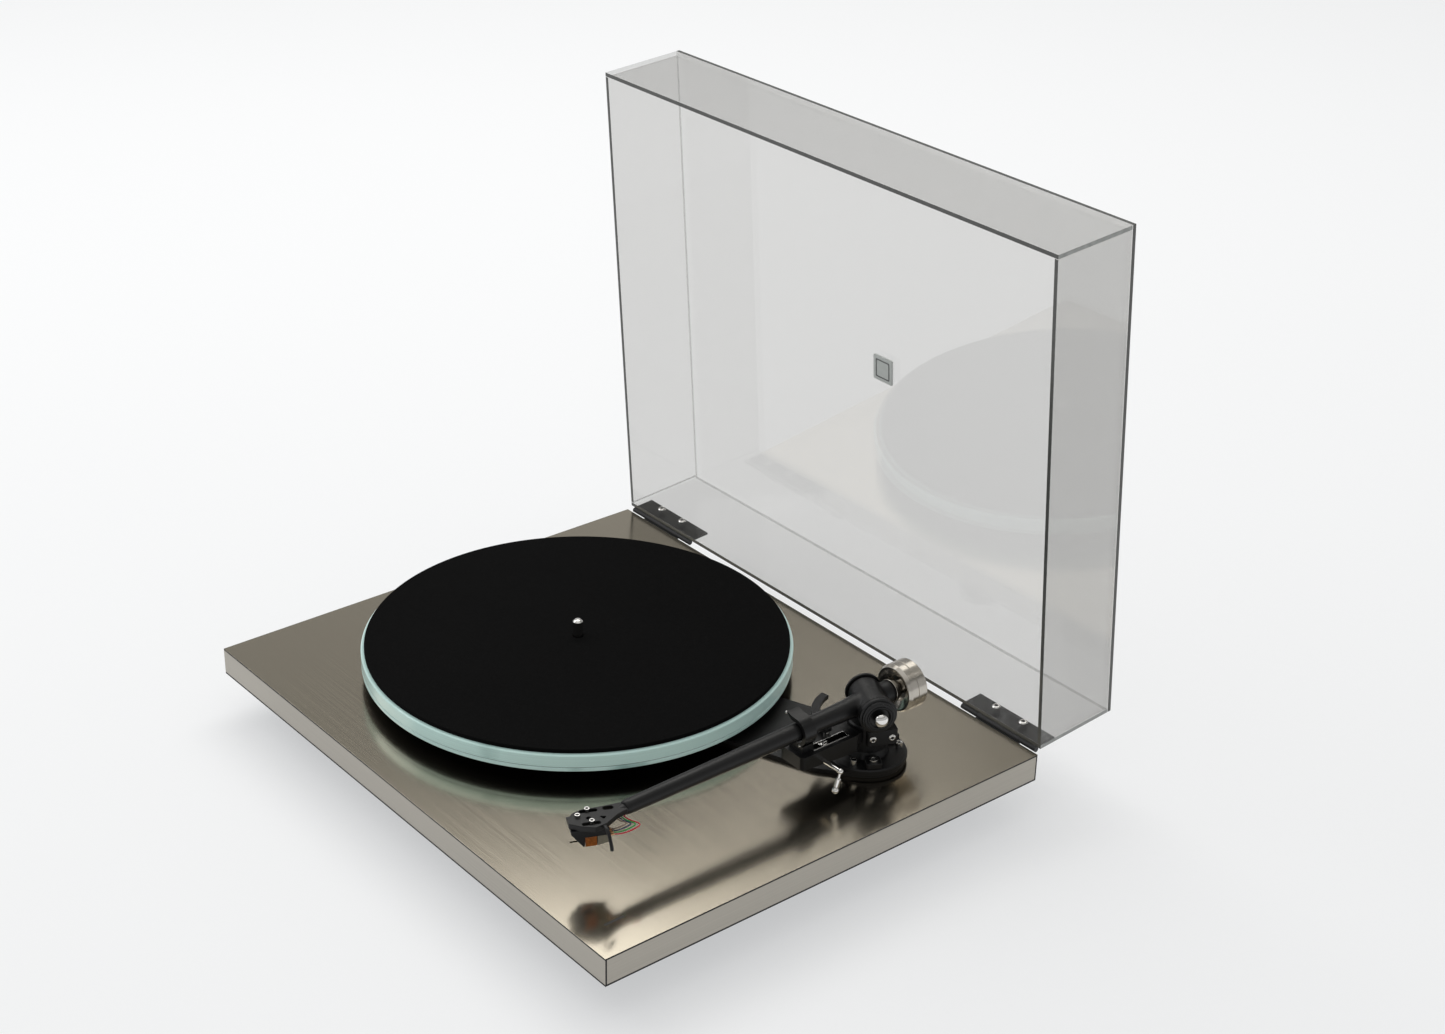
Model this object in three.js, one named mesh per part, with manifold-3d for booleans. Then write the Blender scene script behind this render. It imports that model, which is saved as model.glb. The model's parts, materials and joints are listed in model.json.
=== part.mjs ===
// Turntable record player: thin plinth, glass platter, belt drive, tonearm and a hinged clear lid.
// Millimetres, +Z up, front towards -Y. The plinth stands on its feet at Z = 0.
import * as THREE from "three";
import { mergeVertices } from "three/addons/utils/BufferGeometryUtils.js";
import Module from "manifold-3d";

const wasm = await Module();
wasm.setup();

// ---------- driving dimensions ----------
const WIDTH = 447;
const DEPTH = 357;
const PLINTH_T = 20;
const FOOT_H = 30;
const SKIN = 1.2; // laminate thickness
const TOP = FOOT_H + PLINTH_T; // height of the plinth's top face

const PLATTER = { x: -52.8, y: 4.9 };
const GLASS_R = 149.5;
const GLASS_BOTTOM = TOP + 10;
const GLASS_TOP = TOP + 22.4;
const RING_T = 3; // lower glass ring
const MAT_R = 147.2;
const MAT_TOP = TOP + 25.4;
const SPINDLE_R = 3.5;
const SUB_R = 60; // belt radius on the sub-platter
const PULLEY_R = 6; // belt radius on the motor pulley
const MOTOR = { x: PLATTER.x - 66, y: PLATTER.y - 66 };
const BELT_Z = TOP + 8.5;

const PIVOT = { x: 156, y: 86.3, z: TOP + 44 }; // where the two arm axes cross
const REST_YAW = -0.13; // degrees, arm on its rest against the plinth's sides
const REST_DIP = 0.75; // degrees, arm on its rest turned nose down about its bearing axis
const OFFSET = -24.7; // degrees, headshell and bearing axis against the arm tube
const TUBE_FRONT = { y: -200, r: 4.9 };
const HEADSHELL = { x: -4.2, y: -224.3 }; // just ahead of the middle of the cartridge screws
const STYLUS_AHEAD = 10.3;
const STYLUS_DROP = 15.4;
const WEIGHT_R = 16.6;

const LID_W = 445.5;
const LID_L = 355.5;
const LID_H = 67.5;
const LID_T = 3;
const LID_OPEN = 86; // degrees
const HINGE = { y: DEPTH / 2 + 3.3, z: TOP + 0.4 };
const HINGE_X = 184;
const GAP = 0.3;
const RUN = 0.05; // radial clearance of a running shaft

// ---------- geometry helpers ----------
const rad = THREE.MathUtils.degToRad;

function clean(geometry) {
  const bare = new THREE.BufferGeometry();
  const flat = geometry.index ? geometry.toNonIndexed() : geometry;
  bare.setAttribute("position", flat.getAttribute("position").clone());
  const welded = mergeVertices(bare, 1e-4);
  const idx = welded.index.array;
  const keep = [];
  for (let i = 0; i < idx.length; i += 3) {
    const [a, b, c] = [idx[i], idx[i + 1], idx[i + 2]];
    if (a !== b && b !== c && c !== a) keep.push(a, b, c);
  }
  welded.setIndex(keep);
  if (volume(welded) < 0) {
    for (let i = 0; i < keep.length; i += 3) [keep[i], keep[i + 1]] = [keep[i + 1], keep[i]];
    welded.setIndex(keep);
  }
  return welded;
}

function volume(geometry) {
  const p = geometry.getAttribute("position");
  const idx = geometry.index.array;
  const [a, b, c] = [new THREE.Vector3(), new THREE.Vector3(), new THREE.Vector3()];
  let total = 0;
  for (let i = 0; i < idx.length; i += 3) {
    a.fromBufferAttribute(p, idx[i]);
    b.fromBufferAttribute(p, idx[i + 1]);
    c.fromBufferAttribute(p, idx[i + 2]);
    total += a.dot(b.cross(c)) / 6;
  }
  return total;
}

function toSolid(geometry) {
  const g = clean(geometry);
  const vertProperties = new Float32Array(g.getAttribute("position").array);
  const triVerts = new Uint32Array(g.index.array);
  return new wasm.Manifold(new wasm.Mesh({ numProp: 3, vertProperties, triVerts }));
}

function fromSolid(solid) {
  const mesh = solid.getMesh();
  const n = mesh.numProp;
  const xyz = [];
  for (let i = 0; i < mesh.vertProperties.length; i += n) {
    xyz.push(mesh.vertProperties[i], mesh.vertProperties[i + 1], mesh.vertProperties[i + 2]);
  }
  const g = new THREE.BufferGeometry();
  g.setAttribute("position", new THREE.Float32BufferAttribute(xyz, 3));
  g.setIndex([...mesh.triVerts]);
  return g;
}

function fuse(...parts) {
  return fromSolid(parts.map(toSolid).reduce((a, b) => a.add(b)));
}

function cut(body, ...tools) {
  return fromSolid(tools.map(toSolid).reduce((a, b) => a.subtract(b), toSolid(body)));
}

// box given by its low corner and its high corner
function block(x0, y0, z0, x1, y1, z1) {
  const g = new THREE.BoxGeometry(x1 - x0, y1 - y0, z1 - z0);
  return g.translate((x0 + x1) / 2, (y0 + y1) / 2, (z0 + z1) / 2);
}

// solid of revolution about Z from [radius, height] pairs
function turned(profile, n = 32) {
  const points = profile.map(([r, z]) => new THREE.Vector2(r, z));
  return new THREE.LatheGeometry(points, n).rotateX(Math.PI / 2);
}

function cylinder(r, z0, z1, n = 32) {
  return turned([[0, z0], [r, z0], [r, z1], [0, z1]], n);
}

function pipe(r0, r1, z0, z1, n = 32) {
  return turned([[r0, z0], [r1, z0], [r1, z1], [r0, z1], [r0, z0]], n);
}

// turns a part built along +Z so that it lies along +X or along +Y
const alongX = (g) => g.rotateY(Math.PI / 2);
const alongY = (g) => g.rotateX(-Math.PI / 2);

function outline(points) {
  return new THREE.Shape(points.map(([x, y]) => new THREE.Vector2(x, y)));
}

function plate(shape, z0, z1) {
  const options = { depth: z1 - z0, bevelEnabled: false, curveSegments: 12 };
  return new THREE.ExtrudeGeometry(shape, options).translate(0, 0, z0);
}

function arc(cx, cy, r, from, to, steps) {
  const points = [];
  for (let i = 0; i <= steps; i++) {
    const a = rad(from + ((to - from) * i) / steps);
    points.push([cx + r * Math.cos(a), cy + r * Math.sin(a)]);
  }
  return points;
}

function roundedRect(w, h, r, steps = 4) {
  const points = [];
  const corners = [[1, 1, 0], [-1, 1, 90], [-1, -1, 180], [1, -1, 270]];
  for (const [sx, sy, a] of corners) {
    points.push(...arc(sx * (w / 2 - r), sy * (h / 2 - r), r, a, a + 90, steps));
  }
  return points;
}

// round rod swept along a smooth curve through the points
function rod(points, r, steps, sides = 8) {
  const path = new THREE.CatmullRomCurve3(points.map((p) => new THREE.Vector3(...p)));
  const section = outline(arc(0, 0, r, 0, 360 * (1 - 1 / sides), sides - 1));
  return new THREE.ExtrudeGeometry(section, { steps, extrudePath: path, bevelEnabled: false });
}

// closed outline round two circles, as a belt runs
function beltOutline(a, ra, b, rb, n) {
  const dx = b.x - a.x;
  const dy = b.y - a.y;
  const heading = THREE.MathUtils.radToDeg(Math.atan2(dy, dx));
  const spread = THREE.MathUtils.radToDeg(Math.acos((ra - rb) / Math.hypot(dx, dy)));
  return [
    ...arc(a.x, a.y, ra, heading + spread, heading + 360 - spread, n),
    ...arc(b.x, b.y, rb, heading - spread, heading + spread, Math.round(n / 4)),
  ];
}

const group = new THREE.Group();

function part(name, geometry, colour, roughness = 0.6, metalness = 0, extra = {}) {
  const g = clean(geometry).toNonIndexed();
  g.computeVertexNormals();
  const material = new THREE.MeshStandardMaterial({ color: colour, roughness, metalness, ...extra });
  material.name = `${name}_material`;
  const mesh = new THREE.Mesh(g, material);
  mesh.name = name;
  group.add(mesh);
}

// ---------- plinth ----------
const BASE = FOOT_H; // underside of the plinth
const HALF_W = WIDTH / 2;
const HALF_D = DEPTH / 2;
const BORE_BEARING = 14;
const BORE_STEM = 12.2;
const BORE_PULLEY = 9;
const BORE_MOTOR = 22;
const SWITCH = { x: -130, y: -160 };

const at = (g, p) => g.translate(p.x, p.y, 0);

function throughHoles(z0, z1, pulleyR) {
  return [
    at(cylinder(BORE_BEARING, z0 - 1, z1 + 1, 24), PLATTER),
    at(cylinder(BORE_STEM, z0 - 1, z1 + 1, 32), PIVOT),
    at(cylinder(pulleyR, z0 - 1, z1 + 1, 20), MOTOR),
  ];
}

const inW = HALF_W - SKIN;
const inD = HALF_D - SKIN;
const switchPocket = () =>
  block(SWITCH.x - 11, SWITCH.y - 7, BASE - 1, SWITCH.x + 11, SWITCH.y + 7, BASE + 9);

part("plinth_core",
  cut(block(-inW, -inD, BASE + SKIN, inW, inD, TOP - SKIN),
    ...throughHoles(BASE + SKIN, TOP - SKIN, BORE_MOTOR), switchPocket()),
  0x2b2b2b, 0.9);
part("top_laminate",
  cut(block(-HALF_W, -HALF_D, TOP - SKIN, HALF_W, HALF_D, TOP),
    ...throughHoles(TOP - SKIN, TOP, BORE_PULLEY)),
  0x8a8077, 0.35, 0.7);
part("bottom_laminate",
  cut(block(-HALF_W, -HALF_D, BASE, HALF_W, HALF_D, BASE + SKIN),
    ...throughHoles(BASE, BASE + SKIN, BORE_MOTOR), switchPocket()),
  0x4a4642, 0.5, 0.3);
for (const [name, x0, y0, x1, y1] of [
  ["edge_front", -HALF_W, -HALF_D, HALF_W, -inD],
  ["edge_rear", -HALF_W, inD, HALF_W, HALF_D],
  ["edge_left", -HALF_W, -inD, -inW, inD],
  ["edge_right", inW, -inD, HALF_W, inD],
]) {
  part(name, block(x0, y0, BASE + SKIN, x1, y1, TOP - SKIN), 0xb9b2a8, 0.4, 0.6);
}

// stiffening braces between the platter bearing and the arm base
const BRACE_T = 3;
const span = Math.hypot(PIVOT.x - PLATTER.x, PIVOT.y - PLATTER.y);
const heading = Math.atan2(PIVOT.y - PLATTER.y, PIVOT.x - PLATTER.x);

function brace(halfWidth, endR, z0, z1) {
  const shape = outline([
    ...arc(0, 0, halfWidth, 90, 270, 12),
    [span - 22, -halfWidth - 1],
    ...arc(span, 0, endR, -70, 70, 10),
    [span - 32, halfWidth],
  ]);
  const g = plate(shape, z0, z1).rotateZ(heading).translate(PLATTER.x, PLATTER.y, 0);
  return cut(g, at(cylinder(BORE_BEARING, z0 - 1, z1 + 1, 24), PLATTER),
    at(cylinder(BORE_STEM, z0 - 1, z1 + 1, 32), PIVOT));
}
part("top_brace", brace(33, 26, TOP, TOP + BRACE_T), 0x151515, 0.55);
part("bottom_brace", brace(26, 24, BASE - BRACE_T, BASE), 0x151515, 0.55);

for (const [name, x, y] of [
  ["foot_front_left", -163, -126],
  ["foot_front_right", 163, -126],
  ["foot_rear", 0, 145],
]) {
  const profile = [[0, 0], [17, 0], [19, 2], [20, 14], [16, 24], [16, FOOT_H], [0, FOOT_H]];
  part(name, turned(profile, 20).translate(x, y, 0), 0x111111, 0.85);
}

// ---------- platter bearing and drive ----------
const housing = [
  [0, BASE - 8], [9, BASE - 8], [9, BASE - BRACE_T], [BORE_BEARING - GAP, BASE - BRACE_T],
  [BORE_BEARING - GAP, TOP + BRACE_T], [18, TOP + BRACE_T], [18, TOP + BRACE_T + 1.2],
  [SPINDLE_R + RUN, TOP + BRACE_T + 1.2], [SPINDLE_R + RUN, BASE - 2], [0, BASE - 2],
];
part("bearing_housing", at(turned(housing, 24), PLATTER), 0xa88a4a, 0.35, 0.9);

part("motor_body", at(turned([
  [0, BASE - 6], [19, BASE - 6], [21, BASE - 4], [21, TOP - 5], [5, TOP - 5], [5, TOP - 2],
  [1.5 + RUN, TOP - 2], [1.5 + RUN, TOP - 9], [0, TOP - 9]], 20), MOTOR), 0x8c8c8c, 0.4, 0.8);
part("motor_cover", at(turned([
  [0, BASE - 10], [26, BASE - 10], [28, BASE - 8], [28, BASE], [25.5, BASE], [25.5, BASE - 7.5],
  [0, BASE - 7.5]], 24), MOTOR), 0x1a1a1a, 0.6);
const crown = [
  [0, TOP - 8.5], [1.5, TOP - 8.5], [1.5, TOP + 5], [8, TOP + 5], [8, TOP + 6.4],
  [PULLEY_R, TOP + 6.6], [PULLEY_R, TOP + 10.4], [8, TOP + 10.6], [8, TOP + 11.4], [0, TOP + 11.4]];
part("pulley", at(turned(crown, 20), MOTOR), 0xc8c8c8, 0.3, 0.9);

const BELT_T = 1.2;
const BELT_GAP = 0.3;
const beltOuter = beltOutline(PLATTER, SUB_R + BELT_GAP + BELT_T, MOTOR, PULLEY_R + BELT_GAP + BELT_T, 40);
const beltInner = beltOutline(PLATTER, SUB_R + BELT_GAP, MOTOR, PULLEY_R + BELT_GAP, 40);
const beltShape = outline(beltOuter);
beltShape.holes.push(outline(beltInner));
part("drive_belt", plate(beltShape, BELT_Z - 1.5, BELT_Z + 1.5), 0x1c1c1c, 0.8);

const SUB_BOTTOM = TOP + 5.2;
const SUB_TOP = GLASS_BOTTOM + RING_T;
part("sub_platter", at(turned([
  [SPINDLE_R + RUN, SUB_BOTTOM], [63, SUB_BOTTOM], [63, BELT_Z - 2.2], [SUB_R, BELT_Z - 1.9],
  [SUB_R, BELT_Z + 1.9], [63, BELT_Z + 2.2], [63, SUB_TOP], [SPINDLE_R + RUN, SUB_TOP],
  [SPINDLE_R + RUN, SUB_BOTTOM]], 48), PLATTER), 0x202020, 0.5);
part("spindle", at(turned([
  [0, BASE - 1.8], [SPINDLE_R, BASE - 1.8], [SPINDLE_R, MAT_TOP + 11], [2.2, MAT_TOP + 12.2],
  [0, MAT_TOP + 12.6]], 24), PLATTER), 0xd0d0d0, 0.2, 1);
const glass = { transparent: true, opacity: 0.6 };
part("glass_disc", at(turned([
  [SPINDLE_R + GAP, SUB_TOP], [GLASS_R - 0.6, SUB_TOP], [GLASS_R, SUB_TOP + 0.6],
  [GLASS_R, GLASS_TOP - 0.8], [GLASS_R - 0.8, GLASS_TOP], [SPINDLE_R + GAP, GLASS_TOP],
  [SPINDLE_R + GAP, SUB_TOP]], 64), PLATTER), 0xa5ccc6, 0.1, 0, glass);
part("glass_ring", at(turned([
  [112, GLASS_BOTTOM], [GLASS_R - 0.8, GLASS_BOTTOM], [GLASS_R, GLASS_BOTTOM + 0.8],
  [GLASS_R, SUB_TOP - 0.6], [GLASS_R - 0.6, SUB_TOP], [112, SUB_TOP], [112, GLASS_BOTTOM]], 64),
PLATTER), 0xa5ccc6, 0.1, 0, glass);
part("mat", at(turned([
  [SPINDLE_R + GAP, GLASS_TOP], [MAT_R, GLASS_TOP], [MAT_R, MAT_TOP - 0.5], [MAT_R - 0.5, MAT_TOP],
  [SPINDLE_R + GAP, MAT_TOP], [SPINDLE_R + GAP, GLASS_TOP]], 64), PLATTER), 0x181818, 0.95);

// ---------- switch and sockets under the plinth ----------
part("switch_rocker",
  plate(outline([...arc(0, 0, 8, 200, 340, 10), [7, 2], [-7, 2]]), -6, 6)
    .rotateX(Math.PI / 2).translate(SWITCH.x, SWITCH.y, BASE + 4.5), 0x101010, 0.4);
part("power_inlet",
  cut(block(-150, HALF_D - 22, BASE - 11, -136, HALF_D - 8, BASE),
    alongY(cylinder(2.8, 0, 11, 16)).translate(-143, HALF_D - 18, BASE - 5.5)), 0x161616, 0.5);

// ---------- tonearm base ----------
const atPivot = (g) => g.translate(PIVOT.x, PIVOT.y, 0);
const zAxis = new THREE.Vector3(0, 0, 1);
const bearingAxis = new THREE.Vector3(1, 0, 0).applyAxisAngle(zAxis, rad(OFFSET));
const dip = new THREE.Matrix4().makeRotationAxis(bearingAxis, rad(REST_DIP));
const turnYoke = (g) => g.rotateZ(rad(REST_YAW)).translate(PIVOT.x, PIVOT.y, PIVOT.z);
const turnArm = (g) => turnYoke(g.applyMatrix4(dip));
const FLANGE_TOP = TOP + BRACE_T + 3.5;
const PILLAR_TOP = TOP + 31;
const SHAFT_R = 6;
const flange = turned([
  [0, BASE - 10], [BORE_STEM - GAP, BASE - 10], [BORE_STEM - GAP, TOP + BRACE_T],
  [27, TOP + BRACE_T], [27, FLANGE_TOP - 0.8], [26.2, FLANGE_TOP], [0, FLANGE_TOP]], 32);
const lugs = [-30, 90, 210].map((a) =>
  block(15.6, -5.3, FLANGE_TOP - 1, 25.4, 5.3, FLANGE_TOP + 4).rotateZ(rad(a)));
part("arm_base", atPivot(cut(fuse(flange, ...lugs), cylinder(4.5, BASE - 12, BASE + 6, 16))),
  0x171717, 0.45);
part("arm_cable_gland", atPivot(turned([
  [0, BASE - 16], [3, BASE - 16], [3, BASE - 14], [7, BASE - 14], [7, BASE - 10], [4.5 - GAP, BASE - 10],
  [4.5 - GAP, BASE - 2], [0, BASE - 2]], 16)), 0x0f0f0f, 0.8);
const nut = cylinder(17, BASE - 9, BASE - BRACE_T, 6);
part("arm_lock_nut", atPivot(cut(nut, cylinder(BORE_STEM, BASE - 12, BASE, 32))), 0x9a9a9a, 0.35, 0.9);

const pillar = fuse(
  turned([[0, FLANGE_TOP], [15, FLANGE_TOP], [13.5, FLANGE_TOP + 5], [13.5, PILLAR_TOP - 1],
    [12.5, PILLAR_TOP], [0, PILLAR_TOP]], 28),
  block(2, -5, TOP + 18, 16, 16, TOP + 29).rotateZ(rad(OFFSET + REST_YAW)));
part("arm_pillar",
  atPivot(cut(pillar, cylinder(SHAFT_R + 2 * RUN, FLANGE_TOP + 2, PILLAR_TOP + 1, 20))), 0x171717, 0.45);

// lift and bias housing carried by the pillar, with the cue lever's shaft hole
const BOX = { x0: PIVOT.x - 11, x1: PIVOT.x + 11.5, y0: 20, y1: PIVOT.y - 17, z0: TOP + 17, z1: TOP + 30 };
const LEVER = { y: 37.2, z: TOP + 23 };
const SLOT = { x: PIVOT.x + 5.2, y0: 33, y1: 62 };
const LIFT_POST = { x: PIVOT.x - 2, y: PIVOT.y - 34.5 };
const boxShape = outline(roundedRect(BOX.x1 - BOX.x0, BOX.y1 - BOX.y0, 3));
const boxBody = plate(boxShape, BOX.z0, BOX.z1)
  .translate((BOX.x0 + BOX.x1) / 2, (BOX.y0 + BOX.y1) / 2, 0);
const arm = block(PIVOT.x - 9, PIVOT.y - 22, TOP + 20, PIVOT.x + 8, PIVOT.y - 9, TOP + 28);
const boxJoin = cut(fuse(boxBody, arm), atPivot(cylinder(13.5 + GAP, TOP + 15, TOP + 33, 32)),
  atPivot(block(2 - GAP, -5 - GAP, TOP + 18 - GAP, 16 + GAP, 16, TOP + 31)
    .rotateZ(rad(OFFSET + REST_YAW))));
part("lift_box", cut(boxJoin,
  block(SLOT.x - 2.6, SLOT.y0, BOX.z1 - 4, SLOT.x + 2.6, SLOT.y1, BOX.z1 + 1),
  alongX(cylinder(1.4 + RUN, 0, 14, 16)).translate(BOX.x1 - 13, LEVER.y, LEVER.z),
  cylinder(2 + RUN, BOX.z0 + 2, BOX.z1 + 1, 20).translate(LIFT_POST.x, LIFT_POST.y, 0)),
0x1a1a1a, 0.5);
part("bias_slider", fuse(
  block(SLOT.x - 2.3, 40, BOX.z1 - 3.7, SLOT.x + 2.3, 47, BOX.z1 - 0.2),
  block(SLOT.x - 1.2, 42, BOX.z1 - 1, SLOT.x + 1.2, 45, BOX.z1 + 2)), 0xb0b0b0, 0.3, 0.9);

// curved lift bar on its post, concentric with the arm's vertical axis
const BAR_TOP = PIVOT.z - 8.6;
const bar = plate(outline([...arc(0, 0, 37.4, -90, -167, 12), ...arc(0, 0, 31.6, -167, -90, 12)]),
  BAR_TOP - 3.2, BAR_TOP);
part("lift_platform", fuse(atPivot(bar),
  cylinder(2, BOX.z0 + 2.6, BAR_TOP - 1, 20).translate(LIFT_POST.x, LIFT_POST.y, 0)), 0x1a1a1a, 0.5);

const leverEnd = BOX.x1 + 17;
const stem = cylinder(1, -13, 0, 8);
const grip = turned([[0, -10.5], [1.8, -10.5], [1.8, -4.6], [1.4, -4], [0, -4]], 12);
const ball = new THREE.SphereGeometry(2.3, 12, 8).translate(0, 0, -13.4);
const lever = fuse(stem, grip.translate(0, 0, -0.6), ball, new THREE.SphereGeometry(1.9, 8, 6))
  .rotateX(rad(-16)).translate(leverEnd, LEVER.y, LEVER.z);
part("cue_lever", fuse(lever,
  alongX(cylinder(1.4, 0, leverEnd - BOX.x1 + 12, 16)).translate(BOX.x1 - 12, LEVER.y, LEVER.z)),
0xd8d8d8, 0.15, 1);

// springy rest clip open towards the platter
const CLIP = { y0: -63, y1: -53.5, r: 7.2, wall: 2.8 };
const CLIP_DROP = 0.7; // how far the dipped tube lies below the pivot at the clip
const clipIn = [[-7, -CLIP.r], ...arc(0, 0, CLIP.r, -90, 90, 12), [-4, CLIP.r], [-8, CLIP.r + 3]];
const clipR = CLIP.r + CLIP.wall;
const clipOut = [[-8.6, CLIP.r + 4.6], [-4.4, clipR + 0.3], ...arc(0, 0, clipR, 90, -90, 12),
  [-7, -clipR]];
const clipRing = turnArm(plate(outline([...clipIn, ...clipOut]), CLIP.y0, CLIP.y1)
  .rotateX(Math.PI / 2).translate(0, CLIP.y0 + CLIP.y1, 0));
const clipFoot = block(PIVOT.x - 6, PIVOT.y + CLIP.y0, BOX.z1, PIVOT.x + 7, PIVOT.y + CLIP.y1,
  PIVOT.z - CLIP_DROP - CLIP.r - 0.8);
part("arm_clip", fuse(clipRing, clipFoot), 0x1a1a1a, 0.5);

// ---------- moving arm, built with its pivot at the origin ----------
const across = (g) => alongX(g).rotateZ(rad(OFFSET));
const PIN_R = 1.5;
const HUB_R = 11;
const HUB_HALF = 11.5;
const HUB_OUT = 14.5; // the hub reaches further on the dial's side

part("arm_yoke", turnYoke(fuse(
  cylinder(SHAFT_R, FLANGE_TOP + 2.4 - PIVOT.z, PILLAR_TOP - PIVOT.z + 0.6, 20),
  cylinder(4.6, PILLAR_TOP - PIVOT.z, 3.5, 20),
  across(cylinder(PIN_R, -9, 9, 16)))), 0x9a9a9a, 0.3, 0.9);

const tube = alongY(turned([
  [0, TUBE_FRONT.y], [TUBE_FRONT.r - 0.6, TUBE_FRONT.y], [TUBE_FRONT.r, TUBE_FRONT.y + 3],
  [5.25, -150], [5.6, -115], [6.3, -40], [6.9, -20], [8, -8], [8, 0],
  [7.6, 10], [7.6, 17.4], [0, 17.4]], 20));
const hub = across(cylinder(HUB_R, -HUB_HALF, HUB_OUT, 24));

// headshell plate in its own frame: u to the right, v forwards, then turned by the offset angle
const headFrame = (g) => g.rotateZ(rad(OFFSET)).translate(HEADSHELL.x, HEADSHELL.y, 0);
const shellOutline = outline([
  [-0.8, 12.2], [5.2, 12.2], [9.8, 5], [12.6, -2.8], [11.2, -6.5], [9.5, -10.2], [1.7, -18.5],
  [-1.2, -23.4], [-2, -26], [-10.6, -22.2], [-10.2, -20.8], [-9, -10.3], [-8.7, -4.7], [-8.4, 2],
  [-6, 7.6]].map(([u, v]) => [u, -v]));
const shell = headFrame(cut(plate(shellOutline, -1.5, 2.2),
  plate(outline(roundedRect(3, 11.2, 1.4, 3)), -3, 4).translate(-5.9, 1.9, 0),
  plate(outline(roundedRect(3, 11.4, 1.4, 3)), -3, 4).translate(7.6, 1.2, 0),
  cylinder(1.5, -3, 4, 12).translate(1.7, 0.7, 0),
  plate(outline(roundedRect(3.6, 6.6, 1.7, 3)), -3, 4).translate(-6.4, 14.2, 0),
  plate(outline([[1, 7.1], [2.2, 11.5], [4.4, 9.5]]), -3, 4)));
const neckR = TUBE_FRONT.r - 0.6;
const neck = alongY(turned([[0, -5], [2.6, -5], [neckR, 0], [neckR, 3], [0, 3]], 24))
  .scale(1, 1, 0.62).translate(0, TUBE_FRONT.y, 0.3);
const yokeRoom = cylinder(6.8, -20, 5.5, 24);
const pinBore = across(cylinder(PIN_R + RUN, -9.4, 9.4, 16));
const stubBore = alongY(cylinder(4 + RUN, 8, 20, 20));
const capRoom = [[-26, -HUB_HALF], [HUB_OUT, 32]].map(([a, b]) => across(cylinder(13, a, b, 20)));
part("arm_tube", turnArm(cut(fuse(tube, hub, shell, neck), yokeRoom, pinBore, stubBore, ...capRoom)),
  0x1c1c1c, 0.4);

part("bearing_cap", turnArm(across(turned([
  [0, -15.5], [9.5, -15.5], [11.5, -14.6], [12.4, -13.4], [12.4, -HUB_HALF - GAP],
  [0, -HUB_HALF - GAP]], 24))), 0x141414, 0.4);
part("force_flange", turnArm(across(turned([
  [0, HUB_OUT + GAP], [12.4, HUB_OUT + GAP], [12.4, 17.4], [11.6, 18], [3.2, 18], [3.2, 26],
  [0, 26]], 24))), 0x141414, 0.4);
part("force_dial", turnArm(across(turned([
  [3.2 + RUN, 18.2], [12.6, 18.2], [12.6, 20.6], [11.3, 21.2], [11.3, 22.6], [9.7, 23.4], [7.4, 23.6],
  [6.4, 22.4], [3.2 + RUN, 22.4], [3.2 + RUN, 18.2]], 24))), 0x181818, 0.4);
part("dial_hub", turnArm(across(turned([
  [0, 26.1], [4.7, 26.1], [4.7, 26.8], [4, 28.2], [2.4, 29.2], [0, 29.6]], 16))), 0xe0e0e0, 0.08, 1);

part("rear_stub", turnArm(alongY(turned([
  [0, 8.5], [4, 8.5], [4, 17.7], [8, 17.7], [8, 20.2], [7, 20.4], [7, 22.6], [4.5, 23], [4.5, 36],
  [0, 36]], 20))), 0xc9c4bc, 0.2, 1);
part("counterweight", turnArm(alongY(turned([
  [4.5 + RUN, 27], [10.5, 27], [13, 22.4], [15.2, 21.4], [WEIGHT_R, 24], [WEIGHT_R, 29.2],
  [WEIGHT_R - 0.5, 29.5], [WEIGHT_R, 29.8], [WEIGHT_R, 36.4], [WEIGHT_R - 0.8, 37.2],
  [4.5 + RUN, 37.2], [4.5 + RUN, 27]], 32))), 0xc4bfb6, 0.25, 1);

// ---------- cartridge ----------
const CART_TOP = -1.5 - GAP;
const SPLIT = -7;
const CART_BOTTOM = -14;
const inHead = (g) => turnArm(headFrame(g));
// side profile given as [forwards, up], made solid across the cartridge
const profileToHead = (profile, halfWidth) => {
  const g = plate(outline(profile), -halfWidth, halfWidth);
  const turn = new THREE.Matrix4().makeBasis(
    new THREE.Vector3(0, -1, 0), new THREE.Vector3(0, 0, 1), new THREE.Vector3(-1, 0, 0));
  return g.applyMatrix4(turn);
};
part("cartridge_body", inHead(profileToHead(
  [[-12, CART_TOP], [11.5, CART_TOP], [11.5, -4], [4.2, CART_BOTTOM + 0.3], [3.2, CART_BOTTOM + 0.3],
    [3.2, SPLIT], [-12, SPLIT]], 8.4)), 0x1d1f22, 0.4, 0.3);
part("cartridge_window", inHead(profileToHead(
  [[-4.4, SPLIT - GAP], [3.2 - GAP, SPLIT - GAP], [3.2 - GAP, CART_BOTTOM], [-4.4, CART_BOTTOM]], 8.2)),
0x8a3f12, 0.3);
part("cartridge_rear", inHead(profileToHead(
  [[-12, SPLIT - GAP], [-4.4 - GAP, SPLIT - GAP], [-4.4 - GAP, CART_BOTTOM], [-12, CART_BOTTOM + 1.6]],
  8.2)), 0x8c8472, 0.5);
part("stylus", inHead(fuse(
  profileToHead([[-3, CART_BOTTOM - 0.1], [2.6, CART_BOTTOM - 0.1], [1.6, CART_BOTTOM - 1.2],
    [-3, CART_BOTTOM - 1.2]], 2),
  profileToHead([[1.4, -15.1], [1.4, -14.4], [STYLUS_AHEAD + 0.6, -14.5], [STYLUS_AHEAD + 0.6, -15],
    [STYLUS_AHEAD + 0.1, -STYLUS_DROP], [STYLUS_AHEAD - 0.4, -15]], 0.4))), 0x9a9aa0, 0.3, 0.8);
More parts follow.
